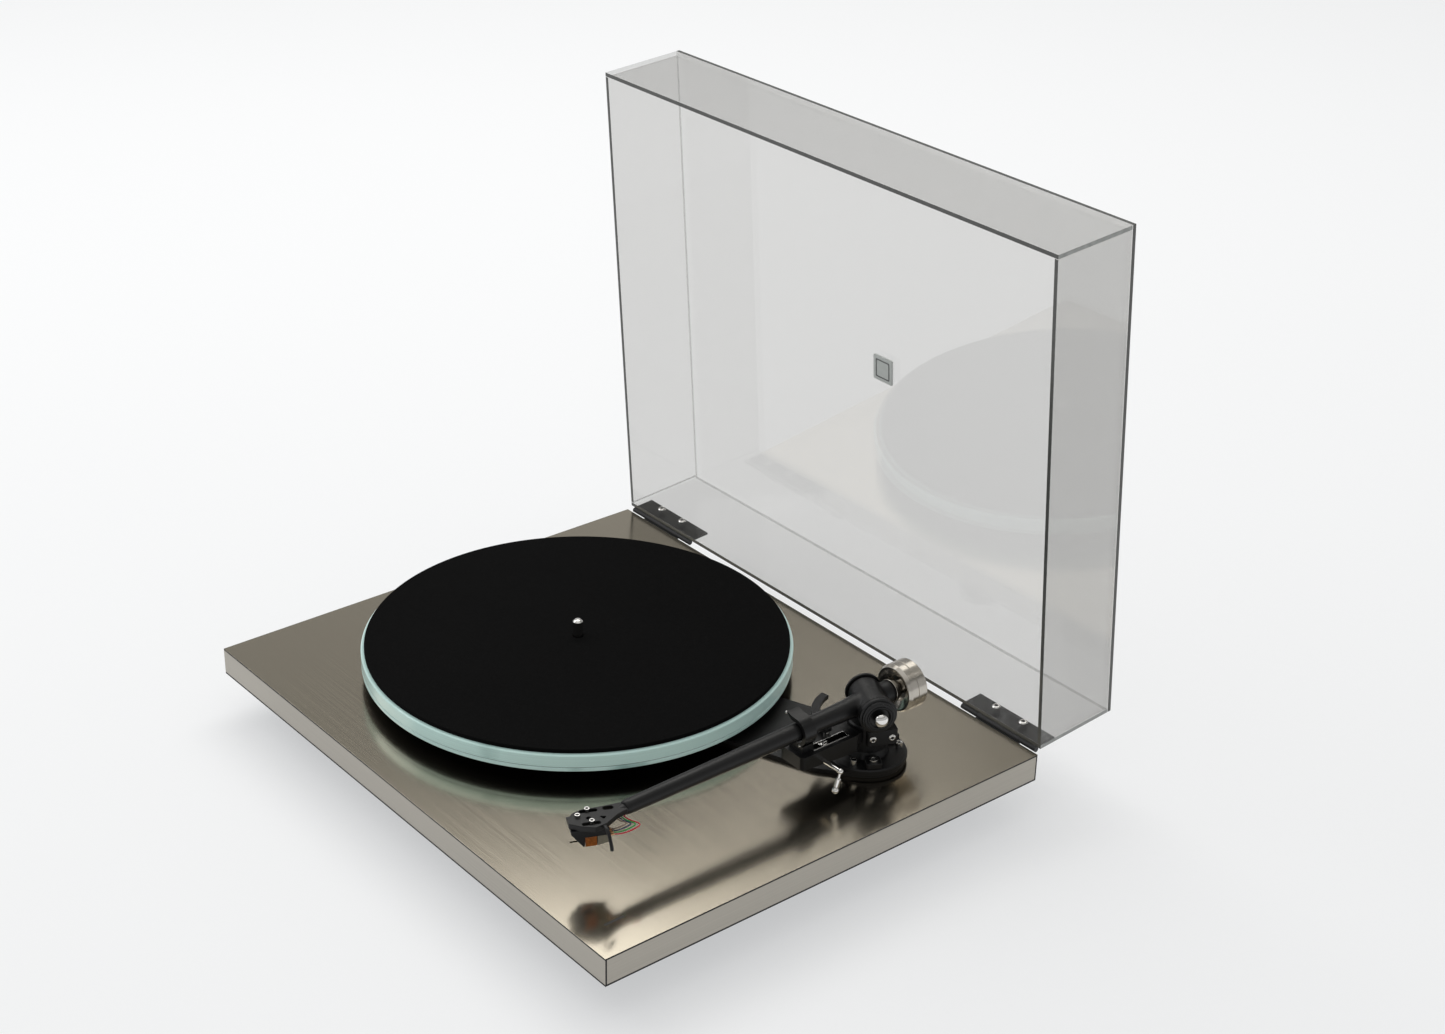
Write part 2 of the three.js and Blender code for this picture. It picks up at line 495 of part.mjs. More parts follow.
part("finger_lift", inHead(rod([
  [11.8, 8, 1.2], [14, 8.3, 2.6], [17.5, 8.8, 2.4], [21, 9.4, -0.6], [23.6, 9.8, -5], [24.2, 10, -7.6]],
1.1, 10)), 0x1b1b1b, 0.4);

// four leads from the tube's open front end to the cartridge's rear pins, side by side
const headPoint = (u, v, z) => {
  const p = new THREE.Vector3(u, -v, z).applyAxisAngle(new THREE.Vector3(0, 0, 1), rad(OFFSET));
  return [p.x + HEADSHELL.x, p.y + HEADSHELL.y, z];
};
const LEADS = [["red", 0xb01020], ["green", 0x3fa04a], ["blue", 0x26304f], ["white", 0xd8c8b8]];
LEADS.forEach(([name, colour], i) => {
  part(`lead_${name}`, turnArm(rod([
    [2.2 - 1.3 * i, -200.5, -3.3], [2.6 - 1.3 * i, -201.4 - 1.5 * i, -3.8],
    [7 - 1.1 * i, -200.2 - 1.7 * i, -4.7], [12.5 - 1.8 * i, -197.7 - 1.9 * i, -5.2],
    [14 - 2.3 * i, -200.7 - 1.7 * i, -6], [10.7 - 2.4 * i, -208.5 - 0.5 * i, -8.6],
    headPoint(4.2 - 2.8 * i, -12.5, -10)],
  0.4, 16, 5)), colour, 0.5);
});

// ---------- lid, built closed and then swung open ----------
const LID_REAR = HINGE.y - 2.3;
const LID_FRONT = LID_REAR - LID_L;
const RIM = TOP + 0.3;
const ROOF = RIM + LID_H;
const clear = { transparent: true, opacity: 0.35 };
const openLid = (g) => g.translate(0, -HINGE.y, -HINGE.z).rotateX(rad(-LID_OPEN))
  .translate(0, HINGE.y, HINGE.z);
const lidX = LID_W / 2;
const wallTop = ROOF - LID_T - GAP;
part("lid_top", openLid(block(-lidX, LID_FRONT, ROOF - LID_T, lidX, LID_REAR, ROOF)),
  0xc8cccb, 0.1, 0, clear);
for (const [name, x0, y0, x1, y1] of [
  ["lid_front", -lidX, LID_FRONT, lidX, LID_FRONT + LID_T],
  ["lid_rear", -lidX, LID_REAR - LID_T, lidX, LID_REAR],
  ["lid_left", -lidX, LID_FRONT + LID_T + GAP, -lidX + LID_T, LID_REAR - LID_T - GAP],
  ["lid_right", lidX - LID_T, LID_FRONT + LID_T + GAP, lidX, LID_REAR - LID_T - GAP],
]) {
  part(name, openLid(block(x0, y0, RIM, x1, y1, wallTop)), 0xc8cccb, 0.1, 0, clear);
}

const KNUCKLE_R = 1.9;
const HINGE_HALF = 35;
const MID_HALF = 20;
const knuckle = (x0, x1, r) => alongX(cylinder(r, 0, x1 - x0, 16)).translate(x0, HINGE.y, HINGE.z);
for (const [side_, x] of [["left", -HINGE_X], ["right", HINGE_X]]) {
  part(`hinge_bracket_${side_}`, fuse(
    block(x - HINGE_HALF, HALF_D + 0.05, TOP - 14, x + HINGE_HALF, HALF_D + 1.6, TOP - 2.4),
    block(x - MID_HALF, HALF_D + 0.5, TOP - 3.6, x + MID_HALF, HINGE.y, TOP - 0.6),
    knuckle(x - MID_HALF, x + MID_HALF, KNUCKLE_R),
    knuckle(x - HINGE_HALF, x + HINGE_HALF, 0.9)), 0x2e2f31, 0.5, 0.4);
  const ears = [[x - HINGE_HALF, x - MID_HALF - GAP], [x + MID_HALF + GAP, x + HINGE_HALF]];
  const leaf = fuse(
    block(x - HINGE_HALF, LID_REAR + 0.1, TOP + 2.8, x + HINGE_HALF, LID_REAR + 1.6, TOP + 17.5),
    ...ears.map(([a, b]) => knuckle(a, b, KNUCKLE_R)),
    ...ears.map(([a, b]) => block(a, LID_REAR + 0.1, HINGE.z, b, LID_REAR + 1.6, TOP + 3.4)));
  part(`hinge_leaf_${side_}`,
    openLid(cut(leaf, knuckle(x - HINGE_HALF - 1, x + HINGE_HALF + 1, 0.9 + RUN))),
    0x2e2f31, 0.5, 0.4);
}

// the origin is under the middle of the whole object, at the floor
const bounds = new THREE.Box3().setFromObject(group);
const middle = bounds.getCenter(new THREE.Vector3());
for (const mesh of group.children) mesh.geometry.translate(-middle.x, -middle.y, -bounds.min.z);

export default group;
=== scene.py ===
import json
import math

import bmesh
import bpy
from mathutils import Euler, Matrix, Vector


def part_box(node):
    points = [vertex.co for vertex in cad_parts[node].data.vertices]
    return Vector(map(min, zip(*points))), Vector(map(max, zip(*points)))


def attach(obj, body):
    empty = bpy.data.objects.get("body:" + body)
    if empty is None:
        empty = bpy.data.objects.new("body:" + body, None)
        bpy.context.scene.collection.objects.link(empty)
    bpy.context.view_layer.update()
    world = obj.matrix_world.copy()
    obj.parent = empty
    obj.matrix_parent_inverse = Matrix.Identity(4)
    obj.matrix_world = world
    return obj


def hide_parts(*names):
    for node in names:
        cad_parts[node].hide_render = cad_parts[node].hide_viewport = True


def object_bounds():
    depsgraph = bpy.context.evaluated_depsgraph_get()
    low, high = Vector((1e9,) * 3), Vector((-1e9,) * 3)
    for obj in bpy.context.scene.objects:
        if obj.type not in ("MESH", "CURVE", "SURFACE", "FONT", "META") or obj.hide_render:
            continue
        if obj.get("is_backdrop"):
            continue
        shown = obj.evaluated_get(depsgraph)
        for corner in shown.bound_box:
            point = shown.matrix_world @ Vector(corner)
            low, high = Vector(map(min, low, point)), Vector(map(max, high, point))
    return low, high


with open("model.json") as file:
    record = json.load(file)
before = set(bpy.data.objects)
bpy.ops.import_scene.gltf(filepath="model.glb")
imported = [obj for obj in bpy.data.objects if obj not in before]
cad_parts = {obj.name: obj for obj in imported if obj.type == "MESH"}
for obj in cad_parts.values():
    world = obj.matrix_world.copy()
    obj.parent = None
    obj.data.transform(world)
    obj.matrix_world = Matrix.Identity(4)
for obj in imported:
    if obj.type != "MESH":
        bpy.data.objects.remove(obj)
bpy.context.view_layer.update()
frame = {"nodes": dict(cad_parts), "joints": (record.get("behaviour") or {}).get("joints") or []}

SCENE = bpy.context.scene
JOINTS = {j["name"]: j for j in frame["joints"]}


# ---------- frames: local millimetres to metres in the row frame ----------
def move(x, y, z):
    return Matrix.Translation((x, y, z))


def turn(degrees, axis):
    return Matrix.Rotation(math.radians(degrees), 4, axis)


MM = Matrix.Scale(0.001, 4)
HINGE = Vector(JOINTS["lid_hinge"]["pos_m"]) * 1000
PIVOT = Vector(JOINTS["arm_tilt"]["pos_m"]) * 1000
SPIN = Vector(JOINTS["platter_spin"]["pos_m"]) * 1000
MOTOR = Vector(JOINTS["pulley_spin"]["pos_m"]) * 1000
HINGE_Y = 181.8  # the lid's hinge line in the plinth's local frame
SHIFT = HINGE.y - HINGE_Y
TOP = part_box("top_laminate")[1].z * 1000
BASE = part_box("bottom_laminate")[0].z * 1000
WORLD = MM @ move(0, SHIFT, 0)
PLATTER = MM @ move(SPIN.x, SPIN.y, 0)
DRIVE = MM @ move(MOTOR.x, MOTOR.y, 0)
COLUMN = MM @ move(PIVOT.x, PIVOT.y, 0)
OFFSET = -24.7  # degrees from across the plinth to the arm's bearing axis and headshell
REST_YAW = -0.13  # degrees the arm is swung at rest
REST_DIP = 0.75  # degrees the arm dips at rest
BEARING = turn(OFFSET, "Z") @ Vector((1, 0, 0))
ARM = MM @ move(*PIVOT) @ turn(REST_YAW, "Z") @ turn(REST_DIP, BEARING)
ACROSS = ARM @ turn(OFFSET, "Z") @ turn(90, "Y")
ALONG = ARM @ turn(-90, "X")
SHELL = move(-4.2, -224.3, 0) @ turn(OFFSET, "Z")
HEAD = ARM @ SHELL
LID_OPEN = 86
LID = MM @ move(*HINGE) @ turn(-LID_OPEN, "X") @ move(0, -HINGE_Y, -HINGE.z)


# ---------- camera ----------
def add_camera():
    data = bpy.data.cameras.new("camera")
    data.sensor_width = 36
    data.lens = 61.067
    data.clip_start = 0.01
    data.clip_end = 100
    camera = bpy.data.objects.new("camera", data)
    camera.location = (1.1406577, SHIFT / 1000 - 0.863032, 0.9285371)
    camera.rotation_euler = Euler(
        [math.radians(a) for a in (62.72883071, -1.1225713, 50.72990805)], "XYZ"
    )
    SCENE.collection.objects.link(camera)
    SCENE.camera = camera


add_camera()


# ---------- materials ----------
def srgb(r, g, b):
    """A colour given as it shows on a screen, from 0 to 255, as linear light."""
    out = []
    for c in (r, g, b):
        c /= 255
        out.append(c / 12.92 if c <= 0.04045 else ((c + 0.055) / 1.055) ** 2.4)
    return (*out, 1.0)


class Nodes:
    """Short calls for one material's node tree."""

    def __init__(self, name):
        self.material = bpy.data.materials.new(name)
        self.material.use_nodes = True
        self.tree = self.material.node_tree
        self.tree.nodes.clear()
        self.out = self.tree.nodes.new("ShaderNodeOutputMaterial")

    def add(self, kind, **values):
        node = self.tree.nodes.new(kind)
        for key, value in values.items():
            setattr(node, key, value)
        return node

    def link(self, source, target):
        self.tree.links.new(source, target)

    def set(self, socket, value):
        if isinstance(value, bpy.types.NodeSocket):
            self.link(value, socket)
        else:
            socket.default_value = value

    def coords(self, scale=(1, 1, 1), kind="Object"):
        mapping = self.add("ShaderNodeMapping")
        self.link(self.add("ShaderNodeTexCoord").outputs[kind], mapping.inputs["Vector"])
        mapping.inputs["Scale"].default_value = scale
        return mapping.outputs["Vector"]

    def noise(self, vector, scale, detail=3, rough=0.5):
        node = self.add("ShaderNodeTexNoise")
        self.link(vector, node.inputs["Vector"])
        node.inputs["Scale"].default_value = scale
        node.inputs["Detail"].default_value = detail
        node.inputs["Roughness"].default_value = rough
        return node.outputs["Fac"]

    def ramp(self, fac, low, high, start=0.0, end=1.0):
        node = self.add("ShaderNodeMapRange")
        self.link(fac, node.inputs["Value"])
        node.inputs["From Min"].default_value = start
        node.inputs["From Max"].default_value = end
        node.inputs["To Min"].default_value = low
        node.inputs["To Max"].default_value = high
        return node.outputs["Result"]

    def math(self, operation, a, b=0.0):
        node = self.add("ShaderNodeMath", operation=operation)
        self.set(node.inputs[0], a)
        self.set(node.inputs[1], b)
        return node.outputs[0]

    def mix(self, fac, a, b, blend="MIX"):
        node = self.add("ShaderNodeMix", data_type="RGBA", blend_type=blend)
        self.set(node.inputs[0], fac)
        self.set(node.inputs[6], a)
        self.set(node.inputs[7], b)
        return node.outputs[2]

    def scaled(self, colour, factor):
        """The colour times a number that varies over the surface."""
        grey = self.add("ShaderNodeCombineColor")
        for i in range(3):
            self.link(factor, grey.inputs[i])
        return self.mix(1.0, colour, grey.outputs[0], "MULTIPLY")

    def bump(self, height, strength, distance):
        node = self.add("ShaderNodeBump")
        node.inputs["Strength"].default_value = strength
        node.inputs["Distance"].default_value = distance
        self.link(height, node.inputs["Height"])
        return node.outputs["Normal"]

    def principled(self, **values):
        node = self.add("ShaderNodeBsdfPrincipled")
        for key, value in values.items():
            self.set(node.inputs[key.replace("_", " ")], value)
        return node

    def done(self, shader):
        self.link(shader.outputs[0], self.out.inputs["Surface"])
        return self.material


def brushed_sheet(name, colour, tangent, grain, rough=0.2, aniso=0.7):
    """Brushed metal laminate. grain is the texture's scale along each axis: small along the grain."""
    n = Nodes(name)
    vector = n.coords(grain)
    fine = n.noise(vector, 1.0, 4, 0.65)
    broad = n.noise(n.coords([g * 0.22 for g in grain]), 1.0, 2)
    cloud = n.noise(n.coords((6, 6, 6)), 1.0, 2)
    level = n.math("ADD", n.ramp(fine, 0.89, 1.11, 0.25, 0.75), n.ramp(broad, -0.03, 0.03))
    level = n.math("MULTIPLY", level, n.ramp(cloud, 0.98, 1.02))
    direction = n.add("ShaderNodeCombineXYZ")
    for i in range(3):
        direction.inputs[i].default_value = tangent[i]
    shader = n.principled(
        Base_Color=n.scaled(colour, level),
        Metallic=1.0,
        Roughness=n.ramp(fine, rough - 0.02, rough + 0.03, 0.3, 0.7),
        Anisotropic=aniso,
        Normal=n.bump(fine, 0.06, 0.00004),
        Tangent=direction.outputs[0],
    )
    return n.done(shader)


def brushed_turned(name, colour, rough=0.2, aniso=0.6, scale=900):
    """Turned metal: fine rings round the part, from the UV map's second direction."""
    n = Nodes(name)
    vector = n.coords((6, scale, 1), "UV")
    fine = n.noise(vector, 1.0, 3, 0.6)
    tangent = n.add("ShaderNodeTangent", direction_type="UV_MAP", uv_map="UVMap")
    shader = n.principled(
        Base_Color=n.scaled(colour, n.ramp(fine, 0.86, 1.12, 0.25, 0.75)),
        Metallic=1.0,
        Roughness=n.ramp(fine, rough - 0.03, rough + 0.05, 0.3, 0.7),
        Anisotropic=aniso,
        Normal=n.bump(fine, 0.10, 0.00004),
        Tangent=tangent.outputs[0],
    )
    return n.done(shader)


def moulded(
    name, colour, rough=0.4, metallic=0.0, grain=900, bump=0.15, vary=0.12, specular=0.32, coat=0.0
):
    """Painted, cast, moulded or plated surface with a fine texture and slight unevenness."""
    n = Nodes(name)
    vector = n.coords()
    fine = n.noise(vector, grain, 4, 0.6)
    cloud = n.noise(vector, 45, 3)
    level = n.math("MULTIPLY", n.ramp(fine, 1 - vary, 1 + vary, 0.3, 0.7), n.ramp(cloud, 0.94, 1.06))
    shader = n.principled(
        Base_Color=n.scaled(colour, level),
        Metallic=metallic,
        Roughness=n.ramp(cloud, rough * 0.9, rough * 1.12, 0.3, 0.7),
        Specular_IOR_Level=specular,
        Coat_Weight=coat,
        Normal=n.bump(fine, bump, 0.00008),
    )
    return n.done(shader)


def felt(name):
    n = Nodes(name)
    vector = n.coords()
    fibre = n.noise(vector, 1400, 6, 0.75)
    clump = n.noise(vector, 260, 4, 0.6)
    cloud = n.noise(vector, 14, 2)
    height = n.math("ADD", fibre, n.math("MULTIPLY", clump, 0.7))
    level = n.math("MULTIPLY", n.ramp(fibre, 0.35, 1.9, 0.3, 0.72), n.ramp(cloud, 0.85, 1.15))
    shader = n.principled(
        Base_Color=n.scaled((0.0034, 0.0034, 0.0035, 1), level),
        Roughness=n.ramp(clump, 0.92, 1.0),
        Specular_IOR_Level=0.05,
        Sheen_Weight=0.012,
        Sheen_Roughness=0.5,
        Normal=n.bump(height, 0.7, 0.0004),
    )
    return n.done(shader)


def rubber(name, colour=(0.012, 0.012, 0.012, 1)):
    return moulded(name, colour, rough=0.75, grain=500, bump=0.25, vary=0.2, specular=0.3)


def platter_glass(name):
    """Thick pale green glass seen at its ground and polished rim, with painted reflection bands round the rim
    and a faint painted glow from its emission.
    """
    n = Nodes(name)
    # painted reflection: dark teal bands round the rim, from noise, stand in for the surroundings reflected
    # in the glass
    painted_reflection_bands = n.noise(n.coords((26, 0.6, 1), "UV"), 1.0, 2, 0.5)
    wide_painted_reflection_bands = n.noise(n.coords((7, 0.3, 1), "UV"), 1.0, 1, 0.4)
    lines = n.noise(n.coords((3, 900, 1), "UV"), 1.0, 3, 0.6)
    pale = srgb(206, 238, 233)
    reflection_band_teal = srgb(120, 160, 156)
    painted_reflection_mix = n.math("ADD", n.math("MULTIPLY", painted_reflection_bands, 0.5), n.math("MULTIPLY", wide_painted_reflection_bands, 0.5))
    colour = n.mix(n.ramp(painted_reflection_mix, 1.0, 0.0, 0.30, 0.43), pale, reflection_band_teal)
    colour = n.scaled(colour, n.ramp(lines, 0.9, 1.1, 0.3, 0.7))
    shader = n.principled(
        Base_Color=colour,
        Roughness=n.ramp(lines, 0.10, 0.22, 0.3, 0.7),
        IOR=1.5,
        Transmission_Weight=0.12,
        # painted glow: the glass gives off a little light in its own colour, though it is no lamp
        Emission_Color=colour,
        Emission_Strength=0.12,
        Coat_Weight=0.3,
        Coat_Roughness=0.05,
        Normal=n.bump(lines, 0.12, 0.00005),
    )
    return n.done(shader)


ACRYLIC_IOR = 1.55


def clear_sheet(name, tint=0.85):
    """Smoky clear acrylic. A ray meets two faces of a sheet, so each takes the root of the whole tint."""
    n = Nodes(name)
    haze = n.noise(n.coords((3, 3, 3)), 1.0, 2)
    facing = n.add("ShaderNodeNewGeometry")
    ior = n.ramp(facing.outputs["Backfacing"], ACRYLIC_IOR, 1 / ACRYLIC_IOR)
    fresnel = n.add("ShaderNodeFresnel")
    n.link(ior, fresnel.inputs["IOR"])
    through = n.add("ShaderNodeBsdfTransparent")
    colour = (tint, tint * 0.997, tint * 0.990, 1)
    n.link(n.scaled(colour, n.ramp(haze, 0.992, 1.008)), through.inputs["Color"])
    gloss = n.principled(
        Base_Color=n.scaled((0.9, 0.9, 0.9, 1), n.ramp(haze, 0.98, 1.0)),
        Metallic=1.0,
        Roughness=n.ramp(haze, 0.01, 0.03),
    )
    mix = n.add("ShaderNodeMixShader")
    n.link(fresnel.outputs[0], mix.inputs[0])
    n.link(through.outputs[0], mix.inputs[1])
    n.link(gloss.outputs[0], mix.inputs[2])
    return n.done(mix)


def sheet_edge(name, colour):
    """Cut edge of the acrylic: dark from outside, clear when seen through the sheet."""
    n = Nodes(name)
    vector = n.coords()
    haze = n.noise(vector, 260, 3)
    facing = n.add("ShaderNodeNewGeometry")
    dark = n.principled(
        Base_Color=n.scaled(colour, n.ramp(haze, 0.85, 1.15, 0.3, 0.7)),
        Roughness=n.ramp(haze, 0.16, 0.28),
        Normal=n.bump(haze, 0.06, 0.00008),
    )
    through = n.add("ShaderNodeBsdfTransparent")
    n.link(n.scaled((0.84, 0.845, 0.84, 1), n.ramp(haze, 0.97, 1.03)), through.inputs["Color"])
    mix = n.add("ShaderNodeMixShader")
    n.link(facing.outputs["Backfacing"], mix.inputs[0])
    n.link(dark.outputs[0], mix.inputs[1])
    n.link(through.outputs[0], mix.inputs[2])
    return n.done(mix)


def lead_material(name, colour):
    return moulded(name, colour, rough=0.45, grain=2500, bump=0.1, vary=0.15)


# top and sides are one laminate: the sides take a darker, cooler copy of its colour as painted shade, and the
# top's warmer tone is painted warm light that it reflects
TITANIUM = (0.47, 0.425, 0.345, 1)
TITANIUM_SHADED_SIDE = (0.41, 0.385, 0.34, 1)
M = {
    "top": brushed_sheet("brushed_top", TITANIUM, (0, 1, 0), (5, 3000, 3000), 0.15),
    "side_x": brushed_sheet("brushed_front_shaded", TITANIUM_SHADED_SIDE, (0, 0, 1), (5, 3000, 3000), 0.3),
    "side_y": brushed_sheet("brushed_side_shaded", TITANIUM_SHADED_SIDE, (0, 0, 1), (3000, 5, 3000), 0.3),
    # black laminate core; it also paints the glass platter's underside black as painted shade
    "core": moulded("laminate_core_and_underside_shade", (0.006, 0.006, 0.006, 1), 0.5, grain=700),
    "board": moulded("board_core", (0.05, 0.045, 0.04, 1), 0.8, grain=500, bump=0.3, vary=0.3),
    "under": moulded("under_laminate", (0.055, 0.052, 0.048, 1), 0.5, grain=600, vary=0.15),
    "felt": felt("mat_felt"),
    "glass": platter_glass("platter_glass"),
    "satin": moulded("satin_black", (0.0075, 0.0075, 0.0078, 1), 0.36, grain=1500, bump=0.18, vary=0.10),
    "cast": moulded("cast_black", (0.0065, 0.0065, 0.0068, 1), 0.42, grain=900, bump=0.30, vary=0.14),
    "plastic": moulded("black_plastic", (0.006, 0.006, 0.0063, 1), 0.30, grain=1100, bump=0.12, vary=0.12),
    "rubber": rubber("foot_rubber"),
    "belt": rubber("belt_rubber", (0.02, 0.02, 0.022, 1)),
    "steel": moulded("screw_steel", (0.72, 0.71, 0.69, 1), 0.16, 1.0, grain=1800, bump=0.05, vary=0.06),
    "chrome": moulded("chrome", (0.80, 0.79, 0.77, 1), 0.07, 1.0, grain=900, bump=0.02, vary=0.03),
    # dark for the cartridge's seam line, and painted shade on the floors of the screws' hex sockets
    "socket": moulded("seam_dark_and_socket_shade", (0.01, 0.01, 0.01, 1), 0.5, grain=1500),
    "turned": brushed_turned("turned_steel", (0.52, 0.49, 0.44, 1), 0.16),
    "brass": brushed_turned("turned_brass", (0.62, 0.47, 0.22, 1), 0.25),
    "alloy": brushed_turned("turned_alloy", (0.55, 0.55, 0.56, 1), 0.25),
    "zinc": moulded("zinc", (0.45, 0.45, 0.46, 1), 0.32, 1.0, grain=900, bump=0.1),
    "hinge": moulded("hinge_grey", (0.035, 0.036, 0.038, 1), 0.42, grain=1000, bump=0.2, vary=0.12),
    "clear": clear_sheet("lid_clear"),
    "clear_wall": clear_sheet("lid_wall", 0.93),
    "lid_edge": sheet_edge("lid_edge", (0.075, 0.077, 0.073, 1)),
    "lid_joint": sheet_edge("lid_joint", (0.30, 0.31, 0.30, 1)),
    "badge": moulded(
        "badge_clear", (0.52, 0.55, 0.53, 1), 0.15, grain=400, bump=0.05, vary=0.05, coat=0.5),
    "badge_line": moulded("badge_line", (0.16, 0.165, 0.165, 1), 0.3, grain=700),
    "cartridge": moulded("cartridge_black", (0.010, 0.0105, 0.012, 1), 0.30, grain=1600),
    "amber": moulded(
        "cartridge_amber", (0.24, 0.070, 0.010, 1), 0.16, grain=500, bump=0.04, vary=0.35, coat=0.6),
    "beige": moulded("cartridge_beige", (0.17, 0.155, 0.115, 1), 0.5, grain=1300, bump=0.2, vary=0.14),
    "copper": moulded("pin_copper", (0.78, 0.44, 0.24, 1), 0.22, 1.0, grain=1500, bump=0.05),
    "mark": moulded("inlay_dark", (0.04, 0.038, 0.034, 1), 0.35, grain=1200),
    "red": lead_material("lead_red", (0.55, 0.010, 0.03, 1)),
    "green": lead_material("lead_green", (0.035, 0.36, 0.07, 1)),
    "blue": lead_material("lead_blue", (0.018, 0.035, 0.10, 1)),
    "white": lead_material("lead_white", (0.36, 0.27, 0.22, 1)),
}


# ---------- mesh building ----------
NEARLY_STRAIGHT = math.radians(165)


def fillet(points, radius, steps=3, closed=True):
    """The polyline with each corner rounded, by less where its sides are short."""
    out = []
    count = len(points)
    for i, p in enumerate(points):
        p = Vector(p)
        if not closed and i in (0, count - 1):
            out.append(p)
            continue
        a = Vector(points[i - 1]) - p
        b = Vector(points[(i + 1) % count]) - p
        if a.length < 1e-6 or b.length < 1e-6:
            out.append(p)
            continue
        angle = a.angle(b)
        if angle > NEARLY_STRAIGHT:
            out.append(p)
            continue
        back = min(radius / math.tan(angle / 2), 0.45 * a.length, 0.45 * b.length)
        start = p + a.normalized() * back
        end = p + b.normalized() * back
        for k in range(steps + 1):
            t = k / steps
            out.append((1 - t) ** 2 * start + 2 * t * (1 - t) * p + t * t * end)
    return out


def lathe(profile, n=96, soft=0.25, steps=3):
    """A solid turned about Z from an outline of (radius, height) points, with its corners rounded.

    An outline that starts away from the axis closes on itself. Points on the axis stay sharp.
    """
    loop = [Vector(p) for p in profile]
    closed = loop[0][0] > 1e-6
    if closed and (loop[0] - loop[-1]).length < 1e-6:
        loop.pop()
    loop = fillet(loop, soft, steps, closed)
    bm = bmesh.new()
    uv = bm.loops.layers.uv.new("UVMap")
    lengths = [0.0]
    for a, b in zip(loop, loop[1:] + loop[:1]):
        lengths.append(lengths[-1] + (b - a).length)
    rings = []
    for p in loop:
        if p[0] < 1e-6:
            rings.append([bm.verts.new((0, 0, p[1]))] * n)
            continue
        angles = [2 * math.pi * k / n for k in range(n)]
        rings.append([bm.verts.new((p[0] * math.cos(a), p[0] * math.sin(a), p[1])) for a in angles])
    total = len(rings) if closed else len(rings) - 1
    for i in range(total):
        low, high = rings[i], rings[(i + 1) % len(rings)]
        for k in range(n):
            m = (k + 1) % n
            corners = [
                (low[k], k, i), (low[m], k + 1, i), (high[m], k + 1, i + 1), (high[k], k, i + 1)
            ]
            unique = []
            for c in corners:
                if c[0] not in [u[0] for u in unique]:
                    unique.append(c)
            if len(unique) < 3:
                continue
            face = bm.faces.new([c[0] for c in unique])
            for loop_, c in zip(face.loops, unique):
                loop_[uv].uv = (c[1] / n, lengths[c[2]] / 100)
    return bm


def box(x0, y0, z0, x1, y1, z1):
    bm = bmesh.new()
    bmesh.ops.create_cube(bm, size=1)
    size = Matrix.Diagonal((x1 - x0, y1 - y0, z1 - z0, 1))
    bm.transform(move((x0 + x1) / 2, (y0 + y1) / 2, (z0 + z1) / 2) @ size)
    return bm


def prism(outline, z0, z1):
    bm = bmesh.new()
    low = [bm.verts.new((x, y, z0)) for x, y in outline]
    high = [bm.verts.new((x, y, z1)) for x, y in outline]
    bm.faces.new(low[::-1])
    bm.faces.new(high)
    for i in range(len(low)):
        j = (i + 1) % len(low)
        bm.faces.new([low[i], low[j], high[j], high[i]])
    return bm


def arc(cx, cy, r, start, end, steps):
    out = []
    for i in range(steps + 1):
        a = math.radians(start + (end - start) * i / steps)
        out.append((cx + r * math.cos(a), cy + r * math.sin(a)))
    return out


def rounded_rect(w, h, r, steps=6, cx=0.0, cy=0.0):
    out = []
    for sx, sy, a in ((1, 1, 0), (-1, 1, 90), (-1, -1, 180), (1, -1, 270)):
        out += arc(cx + sx * (w / 2 - r), cy + sy * (h / 2 - r), r, a, a + 90, steps)
    return out


def sheet(outline, holes, z0, z1, soft=0.3, steps=3):
    """A flat plate with holes and rounded rims, made from a filled 2D curve."""
    data = bpy.data.curves.new("outline", "CURVE")
    data.dimensions = "2D"
    data.fill_mode = "BOTH"
    data.extrude = (z1 - z0) / 2 - soft
    data.bevel_depth = soft
    data.bevel_resolution = steps
    data.offset = -soft
    for loop in [outline, *holes]:
        spline = data.splines.new("POLY")
        spline.points.add(len(loop) - 1)
        for point, (x, y) in zip(spline.points, loop):
            point.co = (x, y, 0, 1)
        spline.use_cyclic_u = True
    temp = bpy.data.objects.new("outline", data)
    SCENE.collection.objects.link(temp)
    dg = bpy.context.evaluated_depsgraph_get()
    mesh = bpy.data.meshes.new_from_object(temp.evaluated_get(dg))
    bm = bmesh.new()
    bm.from_mesh(mesh)
    bpy.data.objects.remove(temp)
    bpy.data.curves.remove(data)
    bpy.data.meshes.remove(mesh)
    bmesh.ops.remove_doubles(bm, verts=bm.verts, dist=1e-4)
    bmesh.ops.dissolve_degenerate(bm, dist=1e-4, edges=bm.edges)
    bm.transform(move(0, 0, (z0 + z1) / 2))
    return bm


def spline_points(points, steps):
    """Points along a smooth curve through the given ones."""
    pts = [Vector(p) for p in points]
    pts = [2 * pts[0] - pts[1], *pts, 2 * pts[-1] - pts[-2]]
    out = []
    for i in range(1, len(pts) - 2):
        p0, p1, p2, p3 = pts[i - 1 : i + 3]
        for k in range(steps):
            t = k / steps
            out.append(
                0.5 * (2 * p1 + (p2 - p0) * t + (2 * p0 - 5 * p1 + 4 * p2 - p3) * t * t
                       + (3 * p1 - p0 - 3 * p2 + p3) * t * t * t)
            )
    out.append(pts[-2])
    return out


